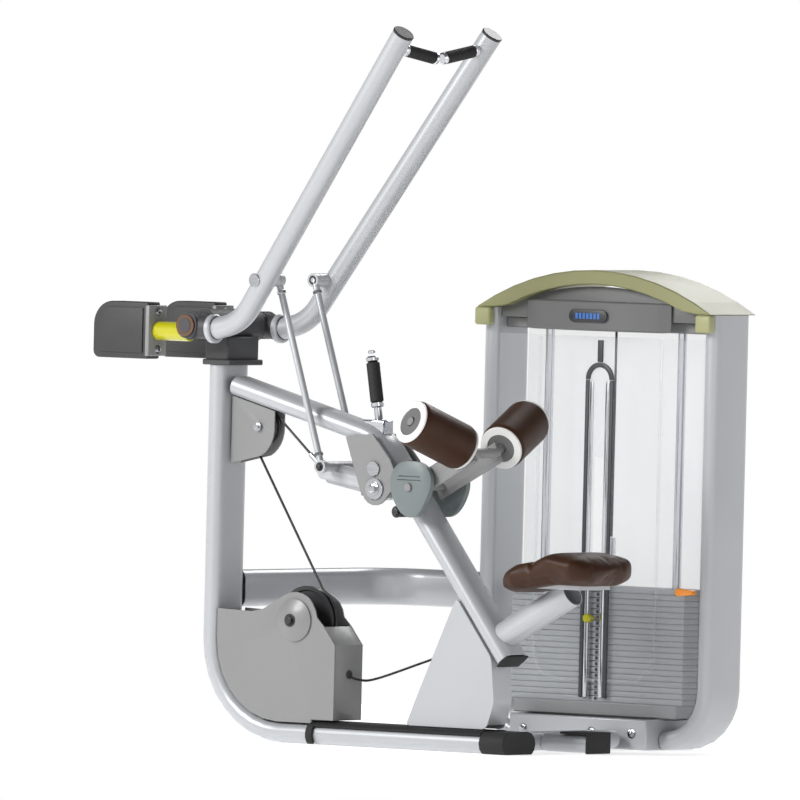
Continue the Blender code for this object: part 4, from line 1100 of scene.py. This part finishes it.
# ---- stage
class Stage(bpy.types.Operator):
    """White studio, three soft lights and the long-lens camera"""

    bl_idname = "pulldown.stage"
    bl_label = "Stage"

    def execute(self, context):
        self.camera()
        self.floor()
        self.world()
        self.light("key_light", (-2.2, -5.0, 3.6), 2.2, 330)
        self.light("fill_light", (4.8, -3.0, 2.5), 2.5, 28)
        self.light("rim_light", (-1.0, 4.5, 4.0), 2.5, 110)
        return {"FINISHED"}

    def camera(self):
        azimuth, elevation, roll = (math.radians(a) for a in (38.0, 1.35, 1.4))
        right = Vector((math.cos(azimuth), math.sin(azimuth), 0))
        ahead = Vector((-math.sin(azimuth) * math.cos(elevation), math.cos(azimuth) * math.cos(elevation),
                        -math.sin(elevation)))
        up = right.cross(ahead)
        side = right * math.cos(roll) + up * math.sin(roll)
        top = up * math.cos(roll) - right * math.sin(roll)
        data = bpy.data.cameras.new("camera")
        data.lens = 900
        data.sensor_width = 36
        data.clip_end = 400
        field = 2.21
        distance = field * data.lens / data.sensor_width
        target = Vector((-0.132, 0.300, 0.946))
        camera = new_object("camera", data)
        turn = Matrix((side, top, -ahead)).transposed().to_4x4()
        camera.matrix_world = Matrix.Translation(target - ahead * distance) @ turn
        bpy.context.scene.camera = camera

    def floor(self):
        bm = bmesh.new()
        bmesh.ops.create_circle(bm, cap_ends=True, segments=96, radius=3.0)
        bmesh.ops.translate(bm, verts=bm.verts, vec=(0, 0, -0.001))
        mesh = bpy.data.meshes.new("studio_floor")
        bm.to_mesh(mesh)
        bm.free()
        white = surface("white_studio_floor", "#ffffff", 0.9,
                        Emission_Strength=0.55, Emission_Color=(1, 1, 1, 1))
        mesh.materials.append(white[-1])
        new_object("studio_floor", mesh)

    def world(self):
        world = bpy.data.worlds.new("white_studio")
        world.use_nodes = True
        tree = world.node_tree
        tree.nodes["Background"].inputs["Strength"].default_value = 1.0
        place = add_node(tree, "ShaderNodeTexCoord")
        parts = add_node(tree, "ShaderNodeSeparateXYZ", links={"Vector": place.outputs["Generated"]})
        ramp = add_node(tree, "ShaderNodeValToRGB", links={"Fac": parts.outputs["Z"]})
        stops = ((0.08, (1, 1, 1, 1)), (0.34, (0.17, 0.17, 0.18, 1)))
        for element, (height, colour) in zip(ramp.color_ramp.elements, stops):
            element.position = height
            element.color = colour
        tree.links.new(ramp.outputs["Color"], tree.nodes["Background"].inputs["Color"])
        bpy.context.scene.world = world
        bpy.context.scene.view_settings.view_transform = "Standard"

    def light(self, name, place, size, power):
        data = bpy.data.lights.new(name, "AREA")
        data.size = size
        data.energy = power
        lamp = new_object(name, data)
        aim = Vector((0, 0.3, 0.9)) - Vector(place)
        lamp.matrix_world = Matrix.Translation(place) @ aim.to_track_quat("-Z", "Y").to_matrix().to_4x4()


BUILDERS = (Stage, FrameTubes, BaseTread, Arms, Counterweights, Linkage, SeatPad, ThighRollers, AdjustLever,
            Tower, Stack)


class PulldownPanel(bpy.types.Panel):
    """Lists the builders and their settings"""

    bl_idname = "VIEW3D_PT_pulldown"
    bl_label = "Lat pulldown"
    bl_space_type = "VIEW_3D"
    bl_region_type = "UI"
    bl_category = "Pulldown"

    def draw(self, context):
        look = context.scene.pulldown_look
        for name in look.bl_rna.properties.keys():
            if name not in ("rna_type", "name"):
                self.layout.prop(look, name)
        for builder in BUILDERS:
            self.layout.operator(builder.bl_idname)


CLASSES = (PulldownLook, *BUILDERS, PulldownPanel)


def register():
    for cls in CLASSES:
        bpy.utils.register_class(cls)
    bpy.types.Scene.pulldown_look = PointerProperty(type=PulldownLook)


def unregister():
    del bpy.types.Scene.pulldown_look
    for cls in reversed(CLASSES):
        bpy.utils.unregister_class(cls)


def main():
    register()
    make_materials(settings())
    for builder in BUILDERS:
        group, action = builder.bl_idname.split(".")
        getattr(getattr(bpy.ops, group), action)()


if __name__ == "__main__":
    main()
